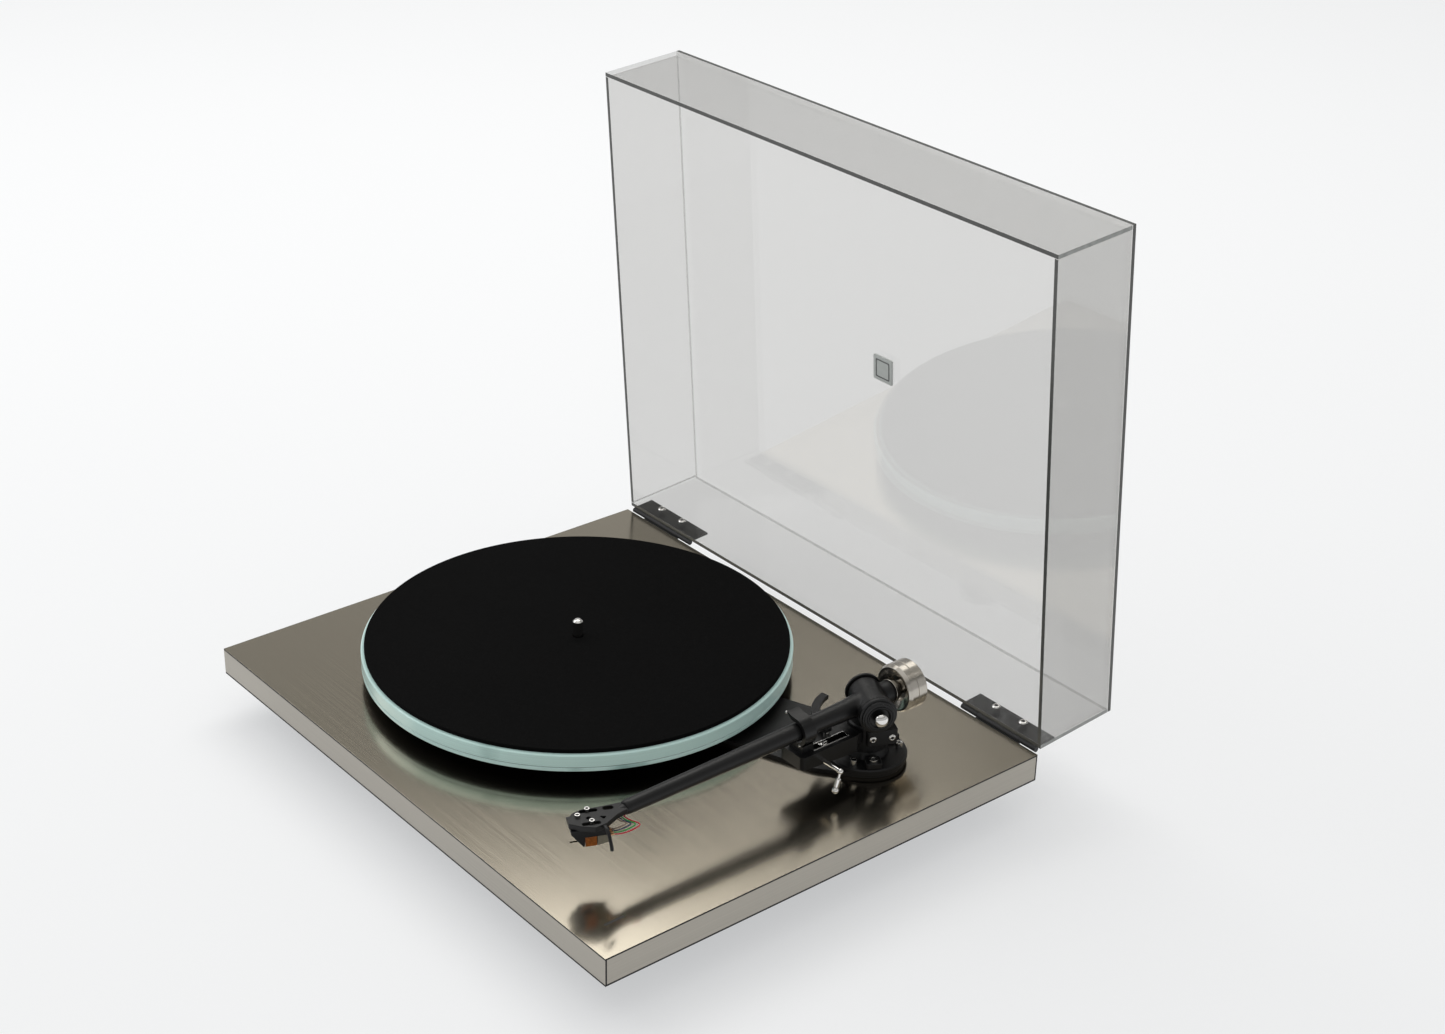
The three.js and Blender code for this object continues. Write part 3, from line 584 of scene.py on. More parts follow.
def sweep(path, radii, sides=16):
    """A round rod along the path, with domed ends."""
    bm = bmesh.new()
    count = len(path)
    side = None
    rings = []
    for i, p in enumerate(path):
        ahead = (path[min(i + 1, count - 1)] - path[max(i - 1, 0)]).normalized()
        if side is None:
            side = ahead.cross(Vector((0, 0, 1)))
            side = side if side.length > 1e-3 else ahead.cross(Vector((0, 1, 0)))
        side = (side - ahead * side.dot(ahead)).normalized()
        up = side.cross(ahead)
        r = radii[min(i, len(radii) - 1)] if isinstance(radii, (list, tuple)) else radii
        levels = [(0, r)]
        if i == 0:
            levels = [(-0.5 * r, 0.5 * r), (-0.3 * r, 0.82 * r), (0, r)]
        elif i == count - 1:
            levels = [(0, r), (0.3 * r, 0.82 * r), (0.5 * r, 0.5 * r)]
        for shift, radius in levels:
            ring = []
            for k in range(sides):
                a = 2 * math.pi * k / sides
                offset = side * math.cos(a) * radius + up * math.sin(a) * radius
                ring.append(bm.verts.new(p + ahead * shift + offset))
            rings.append(ring)
    for low, high in zip(rings, rings[1:]):
        for k in range(sides):
            m = (k + 1) % sides
            bm.faces.new([low[k], low[m], high[m], high[k]])
    bm.faces.new(rings[0][::-1])
    bm.faces.new(rings[-1])
    return bm


def combine(*parts):
    """Several solids in one mesh."""
    out = bmesh.new()
    for bm in parts:
        mesh = bpy.data.meshes.new("part")
        bm.to_mesh(mesh)
        out.from_mesh(mesh)
        bpy.data.meshes.remove(mesh)
        bm.free()
    return out


def blended(bm, voxel, rounds, near):
    """One skin over joined solids, softened at the points that near picks."""
    mesh = bpy.data.meshes.new("blend")
    bm.to_mesh(mesh)
    bm.free()
    obj = bpy.data.objects.new("blend", mesh)
    SCENE.collection.objects.link(obj)
    modifier = obj.modifiers.new("skin", "REMESH")
    modifier.mode = "VOXEL"
    modifier.voxel_size = voxel
    dg = bpy.context.evaluated_depsgraph_get()
    skin = bpy.data.meshes.new_from_object(obj.evaluated_get(dg))
    out = bmesh.new()
    out.from_mesh(skin)
    bpy.data.objects.remove(obj)
    bpy.data.meshes.remove(mesh)
    bpy.data.meshes.remove(skin)
    verts = [v for v in out.verts if near(v.co)]
    for _ in range(rounds):
        bmesh.ops.smooth_vert(
            out, verts=verts, factor=0.5, use_axis_x=True, use_axis_y=True, use_axis_z=True)
    return out


def weighted(obj):
    modifier = obj.modifiers.new("normals", "WEIGHTED_NORMAL")
    modifier.mode = "FACE_AREA"
    modifier.weight = 60
    modifier.keep_sharp = True


def piece(
    name, bm, body, material, matrix=WORLD, nodes=(), bevel=0.0, segments=3, sharp=38, pick=None
):
    """Turns a solid in local millimetres into a piece that rides on a body.

    pick gives a face's place in the list of materials, from its centre and normal in the local frame.
    """
    materials = material if isinstance(material, list) else [material]
    bmesh.ops.remove_doubles(bm, verts=bm.verts, dist=1e-5)
    bmesh.ops.recalc_face_normals(bm, faces=bm.faces)
    if pick:
        bm.normal_update()
        for face in bm.faces:
            face.material_index = pick(face.calc_center_median(), face.normal)
    bm.transform(matrix)
    bmesh.ops.recalc_face_normals(bm, faces=bm.faces)
    limit = math.radians(sharp)
    for edge in bm.edges:
        edge.smooth = len(edge.link_faces) == 2 and edge.calc_face_angle(0) < limit
    for face in bm.faces:
        face.smooth = True
    mesh = bpy.data.meshes.new(name)
    bm.to_mesh(mesh)
    bm.free()
    for m in materials:
        mesh.materials.append(M[m])
    obj = bpy.data.objects.new(name, mesh)
    SCENE.collection.objects.link(obj)
    if bevel:
        modifier = obj.modifiers.new("bevel", "BEVEL")
        modifier.width = bevel / 1000
        modifier.segments = segments
        modifier.limit_method = "ANGLE"
        modifier.angle_limit = limit
        modifier.use_clamp_overlap = True
        modifier.harden_normals = False
        for edge in mesh.edges:
            edge.use_edge_sharp = False
    weighted(obj)
    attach(obj, body)
    if nodes:
        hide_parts(*([nodes] if isinstance(nodes, str) else nodes))
    return obj


FLAT = math.radians(0.5)


def from_node(node):
    """A CAD node's shape as a clean solid in metres."""
    bm = bmesh.new()
    bm.from_mesh(frame["nodes"][node].data)
    bmesh.ops.remove_doubles(bm, verts=bm.verts, dist=1e-7)
    bmesh.ops.dissolve_limit(bm, angle_limit=FLAT, verts=bm.verts, edges=bm.edges)
    return bm


def refined(node, body, material, bevel=0.3, segments=3, name=None, pick=None, sharp=28):
    """The CAD node's shape with its edges rounded."""
    return piece(
        name or f"{node}_fine", from_node(node), body, material, Matrix.Identity(4),
        node, bevel, segments, sharp, pick,
    )


def dress(node, material):
    """A CAD node that stays as it is, with a better material."""
    data = frame["nodes"][node].data
    data.materials.clear()
    data.materials.append(M[material])


def cap_screw(r=2.0, h=1.6, socket=1.1, button=False):
    """Head of a hexagon socket screw, standing on z = 0, with its socket floor."""
    rim = [(0, 0), (r, 0), (r, h * 0.55), (r * 0.72, h * 0.93), (socket, h)] if button else [
        (0, 0), (r, 0), (r, h), (socket, h)]
    profile = rim + [(socket, h * 0.35), (0, h * 0.35)]
    loop = fillet([Vector(p) for p in profile], 0.18, 2, False)
    bm = bmesh.new()
    rings = []
    n = 36
    for i, p in enumerate(loop):
        if p[0] < 1e-6:
            rings.append([bm.verts.new((0, 0, p[1]))] * n)
            continue
        ring = []
        for k in range(n):
            a = 2 * math.pi * k / n
            radius = p[0]
            if radius <= socket * 1.02:
                half = math.pi / 6
                inside = (a % (2 * half)) - half
                radius = socket * math.cos(half) / math.cos(inside)
                radius = min(radius, socket)
            ring.append(bm.verts.new((radius * math.cos(a), radius * math.sin(a), p[1])))
        rings.append(ring)
    for low, high in zip(rings, rings[1:]):
        for k in range(n):
            m = (k + 1) % n
            unique = []
            for v in (low[k], low[m], high[m], high[k]):
                if v not in unique:
                    unique.append(v)
            if len(unique) > 2:
                bm.faces.new(unique)
    return bm


# the socket's floor gets the dark material: painted shade in the recess
def screw_pick(socket, floor):
    return lambda c, n: 1 if math.hypot(c.x, c.y) < socket * 0.8 and c.z <= floor else 0


# ---------- plinth ----------
def flat_or_edge(axis):
    return lambda c, n: 0 if abs(n[axis]) > 0.6 else 1


for node, name, face, axis, bevel in (
    ("top_laminate", "plinth_top", "top", 2, 0.14),
    ("bottom_laminate", "plinth_underside", "under", 2, 0.14),
    ("edge_front", "plinth_front", "side_x", 1, 0.12),
    ("edge_rear", "plinth_rear", "side_x", 1, 0.12),
    ("edge_left", "plinth_left", "side_y", 0, 0.12),
    ("edge_right", "plinth_right", "side_y", 0, 0.12),
):
    refined(node, "plinth", [face, "core"], bevel, 2, name, flat_or_edge(axis), 35)
dress("plinth_core", "board")
refined("top_brace", "plinth", "cast", 0.4, 3, "brace_top", None, 25)
refined("bottom_brace", "plinth", "cast", 0.4, 3, "brace_under", None, 25)

FOOT = [(0, 0), (17, 0), (19, 2), (20, 14), (16, 24), (16, BASE), (0, BASE)]
for side in ("foot_front_left", "foot_front_right", "foot_rear"):
    low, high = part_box(side)
    centre = (low + high) * 500
    piece(f"{side}_rubber", lathe(FOOT, 96, 1.2, 4), "plinth", "rubber",
          MM @ move(centre.x, centre.y, 0), side)

# a plain inlaid bar near the front corner
piece("plinth_inlay", sheet(rounded_rect(15, 2.0, 1.0), [], TOP - 0.05, TOP + 0.03, 0.02, 1),
      "plinth", "mark", WORLD @ move(197, -152, 0) @ turn(90, "Z"))

# ---------- bearing and drive ----------
piece("bearing_sleeve", lathe([
    (0, 22), (9, 22), (9, 27), (13.7, 27), (13.7, 53), (18, 53), (18, 54.2), (3.55, 54.2), (3.55, 28),
    (0, 28)]), "plinth", "brass", PLATTER, "bearing_housing")
piece("motor_can", lathe([
    (0, 24), (19, 24), (21, 26), (21, 45), (5, 45), (5, 48), (1.55, 48), (1.55, 41), (0, 41)]),
    "plinth", "alloy", DRIVE, "motor_body")
piece("motor_cup", lathe([
    (0, 20), (26, 20), (28, 22), (28, 30), (25.5, 30), (25.5, 22.5), (0, 22.5)], 128, 0.8, 4),
    "plinth", "plastic", DRIVE, "motor_cover")
piece("pulley_turned", lathe([
    (0, 41.5), (1.5, 41.5), (1.5, 55), (8, 55), (8, 56.4), (6, 56.6), (6, 60.4), (8, 60.6), (8, 61.4),
    (0, 61.4)]), "motor_pulley", "alloy", DRIVE, "pulley")
dress("drive_belt", "belt")
GLASS_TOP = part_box("glass_disc")[1].z * 1000
MAT_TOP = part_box("mat")[1].z * 1000
GLASS_R = (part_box("glass_disc")[1].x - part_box("glass_disc")[0].x) * 500
MAT_R = (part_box("mat")[1].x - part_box("mat")[0].x) * 500
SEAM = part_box("glass_disc")[0].z * 1000
RING_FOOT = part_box("glass_ring")[0].z * 1000


# the undersides of the glass disc and ring take the black core material: painted shade in place of the dark
# the glass shows from below
def rim_or_shaded_underside(c, n):
    return 1 if n.z < -0.5 else 0


piece("sub_platter_turned", lathe([
    (3.55, 55.2), (63, 55.2), (63, 56.3), (60, 56.6), (60, 60.4), (63, 60.7), (63, SEAM), (3.55, SEAM)],
    128), "platter", "cast", PLATTER, "sub_platter")
piece("glass_disc_clear", lathe([
    (3.8, SEAM), (GLASS_R - 0.6, SEAM), (GLASS_R, SEAM + 0.6), (GLASS_R, GLASS_TOP - 0.8),
    (GLASS_R - 0.8, GLASS_TOP), (3.8, GLASS_TOP)], 384, 0.3, 3), "platter", ["glass", "core"], PLATTER,
    "glass_disc", pick=rim_or_shaded_underside)
piece("glass_ring_clear", lathe([
    (112, RING_FOOT), (GLASS_R - 0.5, RING_FOOT), (GLASS_R, RING_FOOT + 0.5), (GLASS_R, SEAM - 0.6),
    (GLASS_R - 0.6, SEAM), (112, SEAM)], 384, 0.3, 3), "platter", ["glass", "core"], PLATTER,
    "glass_ring", pick=rim_or_shaded_underside)
piece("mat_felt", lathe([
    (3.8, GLASS_TOP), (MAT_R, GLASS_TOP), (MAT_R, MAT_TOP), (3.8, MAT_TOP)], 384, 0.9, 5),
    "platter", "felt", PLATTER, "mat")
piece("spindle_turned", lathe([
    (0, 28.2), (3.5, 28.2), (3.5, MAT_TOP + 11), (2.2, MAT_TOP + 12.2), (0, MAT_TOP + 12.6)], 64, 0.3),
    "platter", "chrome", PLATTER, "spindle")

# ---------- switch and sockets ----------
refined("switch_rocker", "switch", "plastic", 0.4, 3, "switch_cap", None, 25)
refined("power_inlet", "plinth", "plastic", 0.4, 3, "power_inlet_block", None, 25)
piece("inlet_pin", lathe([(0, 2), (0.9, 2), (0.9, 9.5), (0.5, 10.2), (0, 10.4)], 32, 0.1), "plinth", "chrome",
      WORLD @ move(-143, 160.5, BASE - 5.5) @ turn(-90, "X"))

# ---------- tonearm base ----------
piece("arm_flange", lathe([
    (0, 36), (4.5, 36), (4.5, 20), (11.9, 20), (11.9, 53), (27, 53), (27, 55.7), (26.2, 56.5),
    (0, 56.5)], 128, 0.35), "plinth", "cast", COLUMN, "arm_base")
for i, a in enumerate((-30, 90, 210)):
    lug = sheet(rounded_rect(9.8, 10.6, 1.4, 4, 20.5, 0), [], 56.0, 60.5, 0.5, 3)
    piece(f"arm_lug_{i + 1}", lug, "plinth", "cast", COLUMN @ turn(a, "Z"))
    place = COLUMN @ turn(a, "Z") @ move(21, 0, 60.5)
    piece(f"lug_bolt_{i + 1}", cap_screw(3.0, 1.6, 1.5), "plinth", ["steel", "socket"], place,
          pick=screw_pick(1.5, 0.7))
    place = COLUMN @ turn(a - 34, "Z") @ move(21.6, 0, 56.4)
    piece(f"height_screw_{i + 1}", cap_screw(2.5, 4.4, 1.2), "plinth", ["steel", "socket"], place,
          pick=screw_pick(1.2, 1.6))
piece("arm_gland", lathe([
    (0, 14), (3, 14), (3, 16), (7, 16), (7, 20), (4.2, 20), (4.2, 28), (0, 28)], 64, 0.4), "plinth",
    "rubber", COLUMN, "arm_cable_gland")
refined("arm_lock_nut", "plinth", "zinc", 0.5, 3, "lock_nut", None, 25)
piece("arm_column", lathe([
    (0, 58.5), (6.1, 58.5), (6.1, 81), (12.5, 81), (13.5, 80), (13.5, 61.5), (15, 56.5), (0, 56.5)],
    96, 0.4), "plinth", "cast", COLUMN, "arm_pillar")
block = sheet(rounded_rect(14, 21, 2.2, 5, 9, 5.5), [], 68, 79, 0.6, 3)
SIDE = COLUMN @ turn(OFFSET + REST_YAW, "Z")
piece("column_block", block, "plinth", "cast", SIDE)
for i, along in enumerate((-1.4, 11.6)):
    place = SIDE @ move(15.9, along, 73.6) @ turn(90, "Y")
    piece(f"column_screw_{i + 1}", cap_screw(2.4, 1.5, 1.15, True), "plinth", ["steel", "socket"], place,
          pick=screw_pick(1.15, 0.6))



LIFT_BOX_RISE = 0.0038  # metres


def lift_housing():
    """The lift box with its underside rising towards the front."""
    bm = from_node("lift_box")
    base = min(v.co.z for v in bm.verts)
    under = [v for v in bm.verts if v.co.z < base + 0.0005]
    front = min(v.co.y for v in under)
    rear = max(v.co.y for v in under)
    for v in under:
        v.co.z += LIFT_BOX_RISE * (rear - v.co.y) / (rear - front)
    return bm


piece("lift_housing", lift_housing(), "plinth", "plastic", Matrix.Identity(4), "lift_box", 0.45, 3, 30)
refined("bias_slider", "bias", "chrome", 0.25, 2, "bias_button", None, 25)
trim = sheet(rounded_rect(6.6, 30.4, 1.0, 3, 161.2, 47.5), [rounded_rect(5.2, 29, 0.4, 3, 161.2, 47.5)],
            79.7, 80.5, 0.15, 2)
piece("slot_trim", trim, "plinth", "chrome", WORLD)

BAR_TOP = PIVOT.z - 8.6
bar = arc(0, 0, 37.4, -90, -167, 40) + arc(0, 0, 31.6, -167, -90, 40)
bar = [tuple(p) for p in fillet(bar, 0.8, 3)]
piece("lift_bar", sheet(bar, [], BAR_TOP - 3.2, BAR_TOP, 0.5, 3), "lift", "plastic", COLUMN, "lift_platform")
piece("lift_post", lathe([(0, 69.6), (2, 69.6), (2, BAR_TOP - 1), (0, BAR_TOP - 1)], 48, 0.2),
      "lift", "steel", WORLD @ move(154, 51.8, 0))

LEVER_Y, LEVER_Z = 37.2, 73
LEVER = WORLD @ move(184.5, LEVER_Y, LEVER_Z) @ turn(-16, "X")
piece("lever_stem", combine(
    lathe([(0, -13.4), (0.95, -13.4), (0.95, 0.6), (0, 0.6)], 32, 0.2),
    lathe([(0, -11.1), (1.5, -11.1), (1.8, -10.7), (1.8, -5.4), (1.4, -4.6), (0, -4.6)], 48, 0.2),
    lathe([(0, -15.7), *[(2.3 * math.sin(math.radians(a)), -13.4 - 2.3 * math.cos(math.radians(a)))
                         for a in range(12, 180, 12)], (0, -11.1)], 48, 0.01, 1),
    lathe([(0, -1.9), *[(1.9 * math.sin(math.radians(a)), -1.9 * math.cos(math.radians(a)))
                        for a in range(15, 180, 15)], (0, 1.9)], 40, 0.01, 1)),
    "lever", "chrome", LEVER, "cue_lever")
piece("lever_shaft", lathe([(0, 0), (1.4, 0), (1.4, 29), (0, 29)], 48, 0.2), "lever", "steel",
      WORLD @ move(155.5, LEVER_Y, LEVER_Z) @ turn(90, "Y"))

refined("arm_clip", "plinth", "plastic", 0.45, 3, "rest_clip", None, 28)
for i, (x, z) in enumerate(((-9.2, 10.6), (-3.4, -8.6), (4.4, -8.2))):
    place = ARM @ move(x, -63, z) @ turn(90, "X")
    rivet = lathe([(0, -0.4), (0.95, -0.4), (0.95, 0.3), (0.5, 0.6), (0, 0.65)], 32, 0.1)
    piece(f"clip_rivet_{i + 1}", rivet, "plinth", "steel", place)

# ---------- moving arm ----------
dress("arm_yoke", "zinc")
HUB_R = 11
tube = lathe([
    (0, -200), (4.3, -200), (4.9, -197), (5.25, -150), (5.6, -115), (6.3, -40), (6.9, -20), (8, -8), (8, 0),
    (7.6, 10), (7.6, 17.4), (4.05, 17.4), (4.05, 8), (0, 8)], 128, 0.8, 4)
tube.transform(turn(-90, "X"))
hub = lathe([(0, -11.5), (HUB_R, -11.5), (HUB_R, 14.5), (0, 14.5)], 128, 1.2, 5)
hub.transform(turn(OFFSET, "Z") @ turn(90, "Y"))


def at_junction(p):
    """Where the tube's skin runs into the hub's."""
    on_tube = abs(math.hypot(p.x, p.z) - 7.8) < 3.6
    along = p.dot(BEARING)
    on_hub = abs((p - BEARING * along).length - HUB_R) < 4.5 and -10.5 < along < 13.5
    return on_tube and on_hub


arm_body = blended(combine(tube, hub), 0.5, 40, at_junction)
piece("arm_tube_tapered", arm_body, "arm", "satin", ARM, "arm_tube", sharp=50)

shell = [(u, -v) for u, v in (
    (-0.8, 12.2), (5.2, 12.2), (9.8, 5), (12.6, -2.8), (11.2, -6.5), (9.5, -10.2), (1.7, -18.5),
    (-1.2, -23.4), (-2, -26), (-10.6, -22.2), (-10.2, -20.8), (-9, -10.3), (-8.7, -4.7), (-8.4, 2),
    (-6, 7.6))]
holes = [
    rounded_rect(3, 11.2, 1.4, 6, -5.9, 1.9),
    rounded_rect(3, 11.4, 1.4, 6, 7.6, 1.2),
    arc(1.7, 0.7, 1.5, 0, 345, 23),
    rounded_rect(3.6, 6.6, 1.7, 6, -6.4, 14.2),
    [tuple(p) for p in fillet([(1, 7.1), (4.4, 9.5), (2.2, 11.5)], 0.6, 4)],
]
piece("headshell", sheet([tuple(p) for p in fillet(shell, 1.0, 5)], holes, -1.5, 2.2, 0.4, 4), "arm",
      "satin", HEAD)
neck = lathe([(0, -5), (2.6, -5), (4.3, 0), (4.3, 3), (0, 3)], 96, 0.6, 4)
piece("arm_neck", neck, "arm", "satin",
      ARM @ move(0, -200, 0.3) @ Matrix.Diagonal((1, 1, 0.62, 1)) @ turn(-90, "X"))

for i, (u, v) in enumerate(((-6.4, -1.2), (-1.1, 5.7), (6.5, -1.7))):
    piece(f"shell_screw_{i + 1}", cap_screw(1.75, 2.0, 0.95), "arm", ["steel", "socket"],
          HEAD @ move(u, -v, 2.0), pick=screw_pick(0.95, 0.8))

piece("bearing_end", lathe([
    (0, -15.5), (5.0, -15.5), (5.4, -15.2), (9.5, -15.2), (11.5, -14.6), (12.4, -13.4), (12.4, -11.8),
    (0, -11.8)], 128, 0.35), "arm", "satin", ACROSS, "bearing_cap")
piece("dial_flange", lathe([
    (0, 14.8), (12.4, 14.8), (12.4, 17.4), (11.6, 18), (3.2, 18), (3.2, 26), (0, 26)], 128, 0.3), "arm",
    "satin", ACROSS, "force_flange")
piece("force_wheel", lathe([
    (3.25, 18.2), (12.6, 18.2), (12.6, 20.6), (11.3, 20.9), (11.3, 22.6), (10.2, 22.8), (10.0, 23.3),
    (8.9, 23.4), (8.7, 23.0), (8.3, 23.0), (8.1, 23.6), (7.4, 23.6), (6.4, 22.4), (3.25, 22.4)],
    128, 0.15), "dial", "plastic", ACROSS, "force_dial")
dome = [(4.7 * math.cos(a), 26.6 + 3 * math.sin(a)) for a in (math.radians(9 * k) for k in range(10))]
piece("dial_dome", lathe([(0, 26.1), (4.7, 26.1), *dome, (0, 29.6)], 96, 0.05, 1),
      "arm", "chrome", ACROSS, "dial_hub")

piece("rear_shaft", lathe([
    (0, 8.5), (4, 8.5), (4, 17.7), (8, 17.7), (8, 20.2), (7, 20.4), (7, 22.6), (4.5, 23), (4.5, 36),
    (0, 36)], 128, 0.3), "arm", "turned", ALONG, "rear_stub")
piece("counterweight_turned", lathe([
    (4.55, 27), (8.5, 27), (9, 24.2), (13.5, 21.8), (15.2, 21.4), (16.6, 24), (16.6, 29.2), (16.1, 29.35),
    (16.1, 29.65), (16.6, 29.8), (16.6, 36.4), (15.8, 37.2), (4.55, 37.2)], 160, 0.25),
    "weight", "turned", ALONG, "counterweight")


# ---------- cartridge ----------
def profile_block(points, half):
    """A solid from a side profile of (forwards, up) points, as wide as twice half."""
    bm = prism(points, -half, half)
    basis = Matrix(((0, 0, -1, 0), (-1, 0, 0, 0), (0, 1, 0, 0), (0, 0, 0, 1)))
    bm.transform(basis)
    return bm


piece("cartridge_shell", profile_block([
    (-12, -1.8), (11.5, -1.8), (11.5, -4), (4.2, -13.7), (3.2, -13.7), (3.2, -7), (-12, -7)], 8.4), "arm",
    "cartridge", HEAD, "cartridge_body", 0.35)
piece("cartridge_seam", profile_block([(-12.1, -3.0), (11.45, -3.0), (11.45, -3.25), (-12.1, -3.25)], 8.45),
      "arm", "socket", HEAD)
piece("cartridge_amber", profile_block([(-4.4, -7.3), (2.9, -7.3), (2.9, -14), (-4.4, -14)], 8.2),
      "arm", "amber", HEAD, "cartridge_window", 0.3)
piece("cartridge_back", profile_block([(-12, -7.3), (-4.7, -7.3), (-4.7, -14), (-12, -12.4)], 8.2),
      "arm", "beige", HEAD, "cartridge_rear", 0.3)
refined("stylus", "arm", "alloy", 0.1, 2, "stylus_arm", None, 25)
lift_line = [
    (11.8, 8, 1.2), (14, 8.3, 2.6), (17.5, 8.8, 2.4), (21, 9.4, -0.6), (23.6, 9.8, -5), (24.2, 10, -7.6)]
piece("finger_grip", sweep(spline_points(lift_line, 8), 1.1, 20), "arm", "satin", HEAD, "finger_lift")


for i, colour in enumerate(("red", "green", "blue", "white")):
    end = SHELL @ Vector((4.2 - 2.8 * i, 12.5, -10))
    route = [
        (2.2 - 1.3 * i, -200.5, -3.3), (2.6 - 1.3 * i, -201.4 - 1.5 * i, -3.8),
        (7 - 1.1 * i, -200.2 - 1.7 * i, -4.7), (12.5 - 1.8 * i, -197.7 - 1.9 * i, -5.2),
        (14 - 2.3 * i, -200.7 - 1.7 * i, -6), (10.7 - 2.4 * i, -208.5 - 0.5 * i, -8.6), end]
    line = spline_points(route, 10)
    piece(f"lead_{colour}_wire", sweep(line, 0.4, 14), "arm", colour, ARM, f"lead_{colour}")
    away = (line[-8] - line[-1]).normalized()
    start = line[-1] + away * 0.2
    sleeve = [start, start + away * 0.8, start + away * 1.6, start + away * 2.6, start + away * 3.2]
    piece(f"lead_clip_{i + 1}", sweep(sleeve, [0.62, 0.72, 0.72, 0.66, 0.5], 16), "arm", "copper", ARM)

# ---------- lid ----------
LID_REAR = 179.5
LID_FRONT = LID_REAR - 355.5
RIM = TOP + 0.3
ROOF = RIM + 67.5
HALF = 222.75
WALL = 3.0
GAP = 0.3
WALL_TOP = ROOF - WALL - GAP


def faces_down(n):
    return n.z < -0.5


def lid_panel(name, node, x0, y0, z0, x1, y1, z1, edge, face="clear"):
    """edge gives 1 for a bare cut edge, 2 for a glued one and 0 for a face, from its normal."""
    piece(name, box(x0, y0, z0, x1, y1, z1), "lid", [face, "lid_edge", "lid_joint"], LID, node, 0.25, 2, 38,
          lambda c, n: edge(n))


def top_edge(n):
    return 1 if abs(n.z) < 0.5 else 0


def long_wall_edge(n):
    return 1 if faces_down(n) else 2 if abs(n.x) > 0.5 else 0


def side_wall_edge(n):
    return 1 if faces_down(n) else 0


SIDE_FRONT = LID_FRONT + WALL + GAP
SIDE_REAR = LID_REAR - WALL - GAP
lid_panel("lid_top_sheet", "lid_top", -HALF, LID_FRONT, ROOF - WALL, HALF, LID_REAR, ROOF, top_edge)
lid_panel("lid_front_sheet", "lid_front", -HALF, LID_FRONT, RIM, HALF, LID_FRONT + WALL, WALL_TOP,
          long_wall_edge, "clear_wall")
lid_panel("lid_rear_sheet", "lid_rear", -HALF, LID_REAR - WALL, RIM, HALF, LID_REAR, WALL_TOP, long_wall_edge)
lid_panel("lid_left_sheet", "lid_left", -HALF, SIDE_FRONT, RIM, -HALF + WALL, SIDE_REAR, WALL_TOP,
          side_wall_edge)
lid_panel("lid_right_sheet", "lid_right", HALF - WALL, SIDE_FRONT, RIM, HALF, SIDE_REAR, WALL_TOP,
          side_wall_edge)

BADGE = LID @ move(0, 1.75, ROOF - WALL)
piece("lid_badge", sheet(rounded_rect(19, 19, 1.0, 4), [], -1.2, 0.0, 0.2, 2), "lid", "badge", BADGE)
badge_frame = sheet(rounded_rect(14, 14, 0.8, 4), [rounded_rect(12, 12, 0.6, 4)], -1.4, -1.15, 0.08, 1)
piece("lid_badge_frame", badge_frame, "lid", "badge_line", BADGE)

HINGE_X = 184
for side, x in (("left", -HINGE_X), ("right", HINGE_X)):
    refined(f"hinge_bracket_{side}", "plinth", "hinge", 0.3, 2, f"hinge_fixed_{side}", None, 30)
    refined(f"hinge_leaf_{side}", "lid", "hinge", 0.3, 2, f"hinge_moving_{side}", None, 30)
    for k, dx in enumerate((-12.7, 12.7)):
        place = LID @ move(x + dx, LID_REAR - WALL, TOP + 10.5) @ turn(90, "X")
        piece(f"hinge_nut_{side}_{k + 1}", cap_screw(3.1, 1.8, 1.5, True), "lid", ["steel", "socket"], place,
              pick=screw_pick(1.5, 0.7))
        place = MM @ move(x + dx, SHIFT + 180.1, TOP - 8.5) @ turn(-90, "X")
        piece(f"bracket_screw_{side}_{k + 1}", cap_screw(2.6, 1.2, 1.2, True), "plinth", ["steel", "socket"],
              place, pick=screw_pick(1.2, 0.5))


# ---------- room: floor and light ----------
def stage_material():
    n = Nodes("floor_white")
    cloud = n.noise(n.coords((0.6, 0.6, 0.6)), 1.0, 2)
    shader = n.principled(
        Base_Color=n.mix(cloud, (0.49, 0.492, 0.498, 1), (0.51, 0.511, 0.515, 1)),
        Roughness=0.75,
        Specular_IOR_Level=0.10,
        Emission_Color=(0.97, 0.985, 1.0, 1),
        Emission_Strength=0.50,
    )
    return n.done(shader)


FLOOR_R = 14  # metres


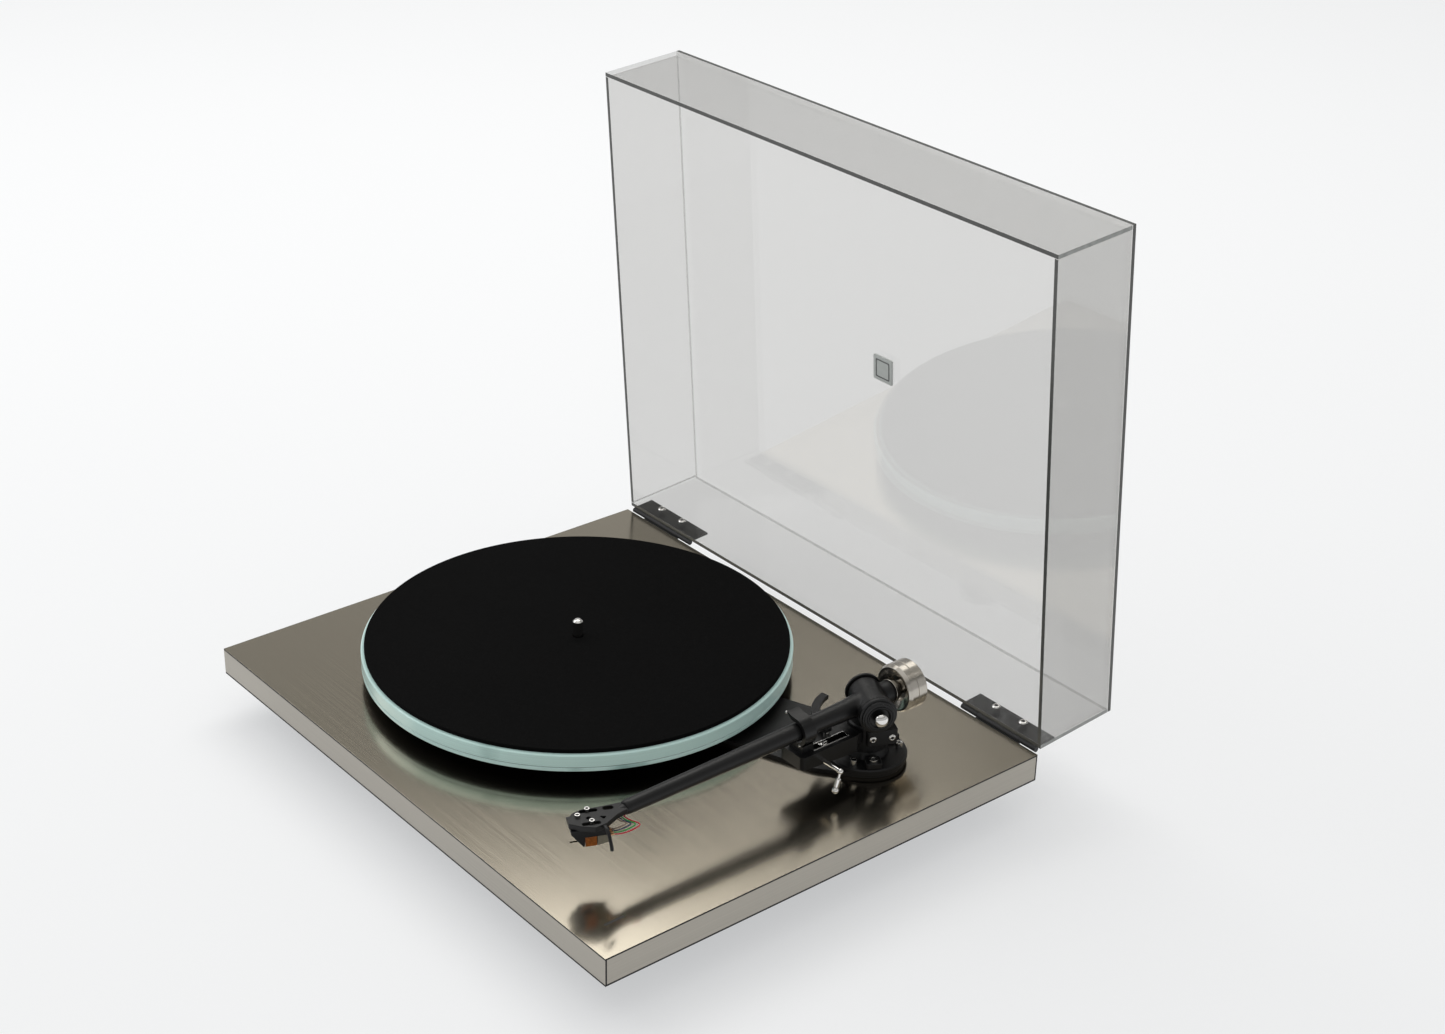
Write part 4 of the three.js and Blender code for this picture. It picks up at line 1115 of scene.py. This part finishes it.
def add_floor():
    bm = bmesh.new()
    bmesh.ops.create_circle(bm, cap_ends=True, radius=FLOOR_R, segments=96)
    mesh = bpy.data.meshes.new("floor")
    bm.to_mesh(mesh)
    bm.free()
    mesh.materials.append(stage_material())
    obj = bpy.data.objects.new("floor", mesh)
    SCENE.collection.objects.link(obj)
    obj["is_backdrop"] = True


def add_light(name, energy, size, location, target, colour):
    data = bpy.data.lights.new(name, "AREA")
    data.energy = energy
    data.shape = "RECTANGLE"
    data.size, data.size_y = size
    data.color = colour
    obj = bpy.data.objects.new(name, data)
    obj.location = location
    aim = Vector(target) - Vector(location)
    obj.rotation_euler = aim.to_track_quat("-Z", "Y").to_euler()
    SCENE.collection.objects.link(obj)


def add_world():
    world = bpy.data.worlds.new("studio")
    world.use_nodes = True
    SCENE.world = world
    tree = world.node_tree
    tree.nodes.clear()
    out = tree.nodes.new("ShaderNodeOutputWorld")
    back = tree.nodes.new("ShaderNodeBackground")
    coord = tree.nodes.new("ShaderNodeTexCoord")
    split = tree.nodes.new("ShaderNodeSeparateXYZ")
    ramp = tree.nodes.new("ShaderNodeValToRGB")
    tree.links.new(coord.outputs["Generated"], split.inputs[0])
    tree.links.new(split.outputs["Z"], ramp.inputs["Fac"])
    tree.links.new(ramp.outputs["Color"], back.inputs["Color"])
    tree.links.new(back.outputs[0], out.inputs["Surface"])
    stops = [
        (0.00, (0.52, 0.52, 0.52)), (0.42, (0.54, 0.54, 0.54)), (0.50, (0.38, 0.38, 0.37)),
        (0.56, (0.22, 0.22, 0.215)), (0.75, (0.56, 0.55, 0.53)), (1.00, (0.84, 0.84, 0.83)),
    ]
    elements = ramp.color_ramp.elements
    while len(elements) < len(stops):
        elements.new(0.5)
    for element, (position, colour) in zip(elements, stops):
        element.position = position
        element.color = (*colour, 1)
    back.inputs["Strength"].default_value = 0.95


add_floor()
add_world()
add_light("key", 22, (2.4, 1.25), (-1.22, 0.92, 2.13), (0, 0, 0), (1.0, 0.99, 0.965))
add_light("fill", 8, (1.4, 1.0), (-1.7, -1.0, 1.6), (0, 0, 0.05), (0.98, 0.99, 1.0))
SCENE.view_settings.view_transform = "Standard"
SCENE.view_settings.look = "None"
SCENE.view_settings.exposure = 0
SCENE.cycles.transparent_max_bounces = 24

low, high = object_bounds()
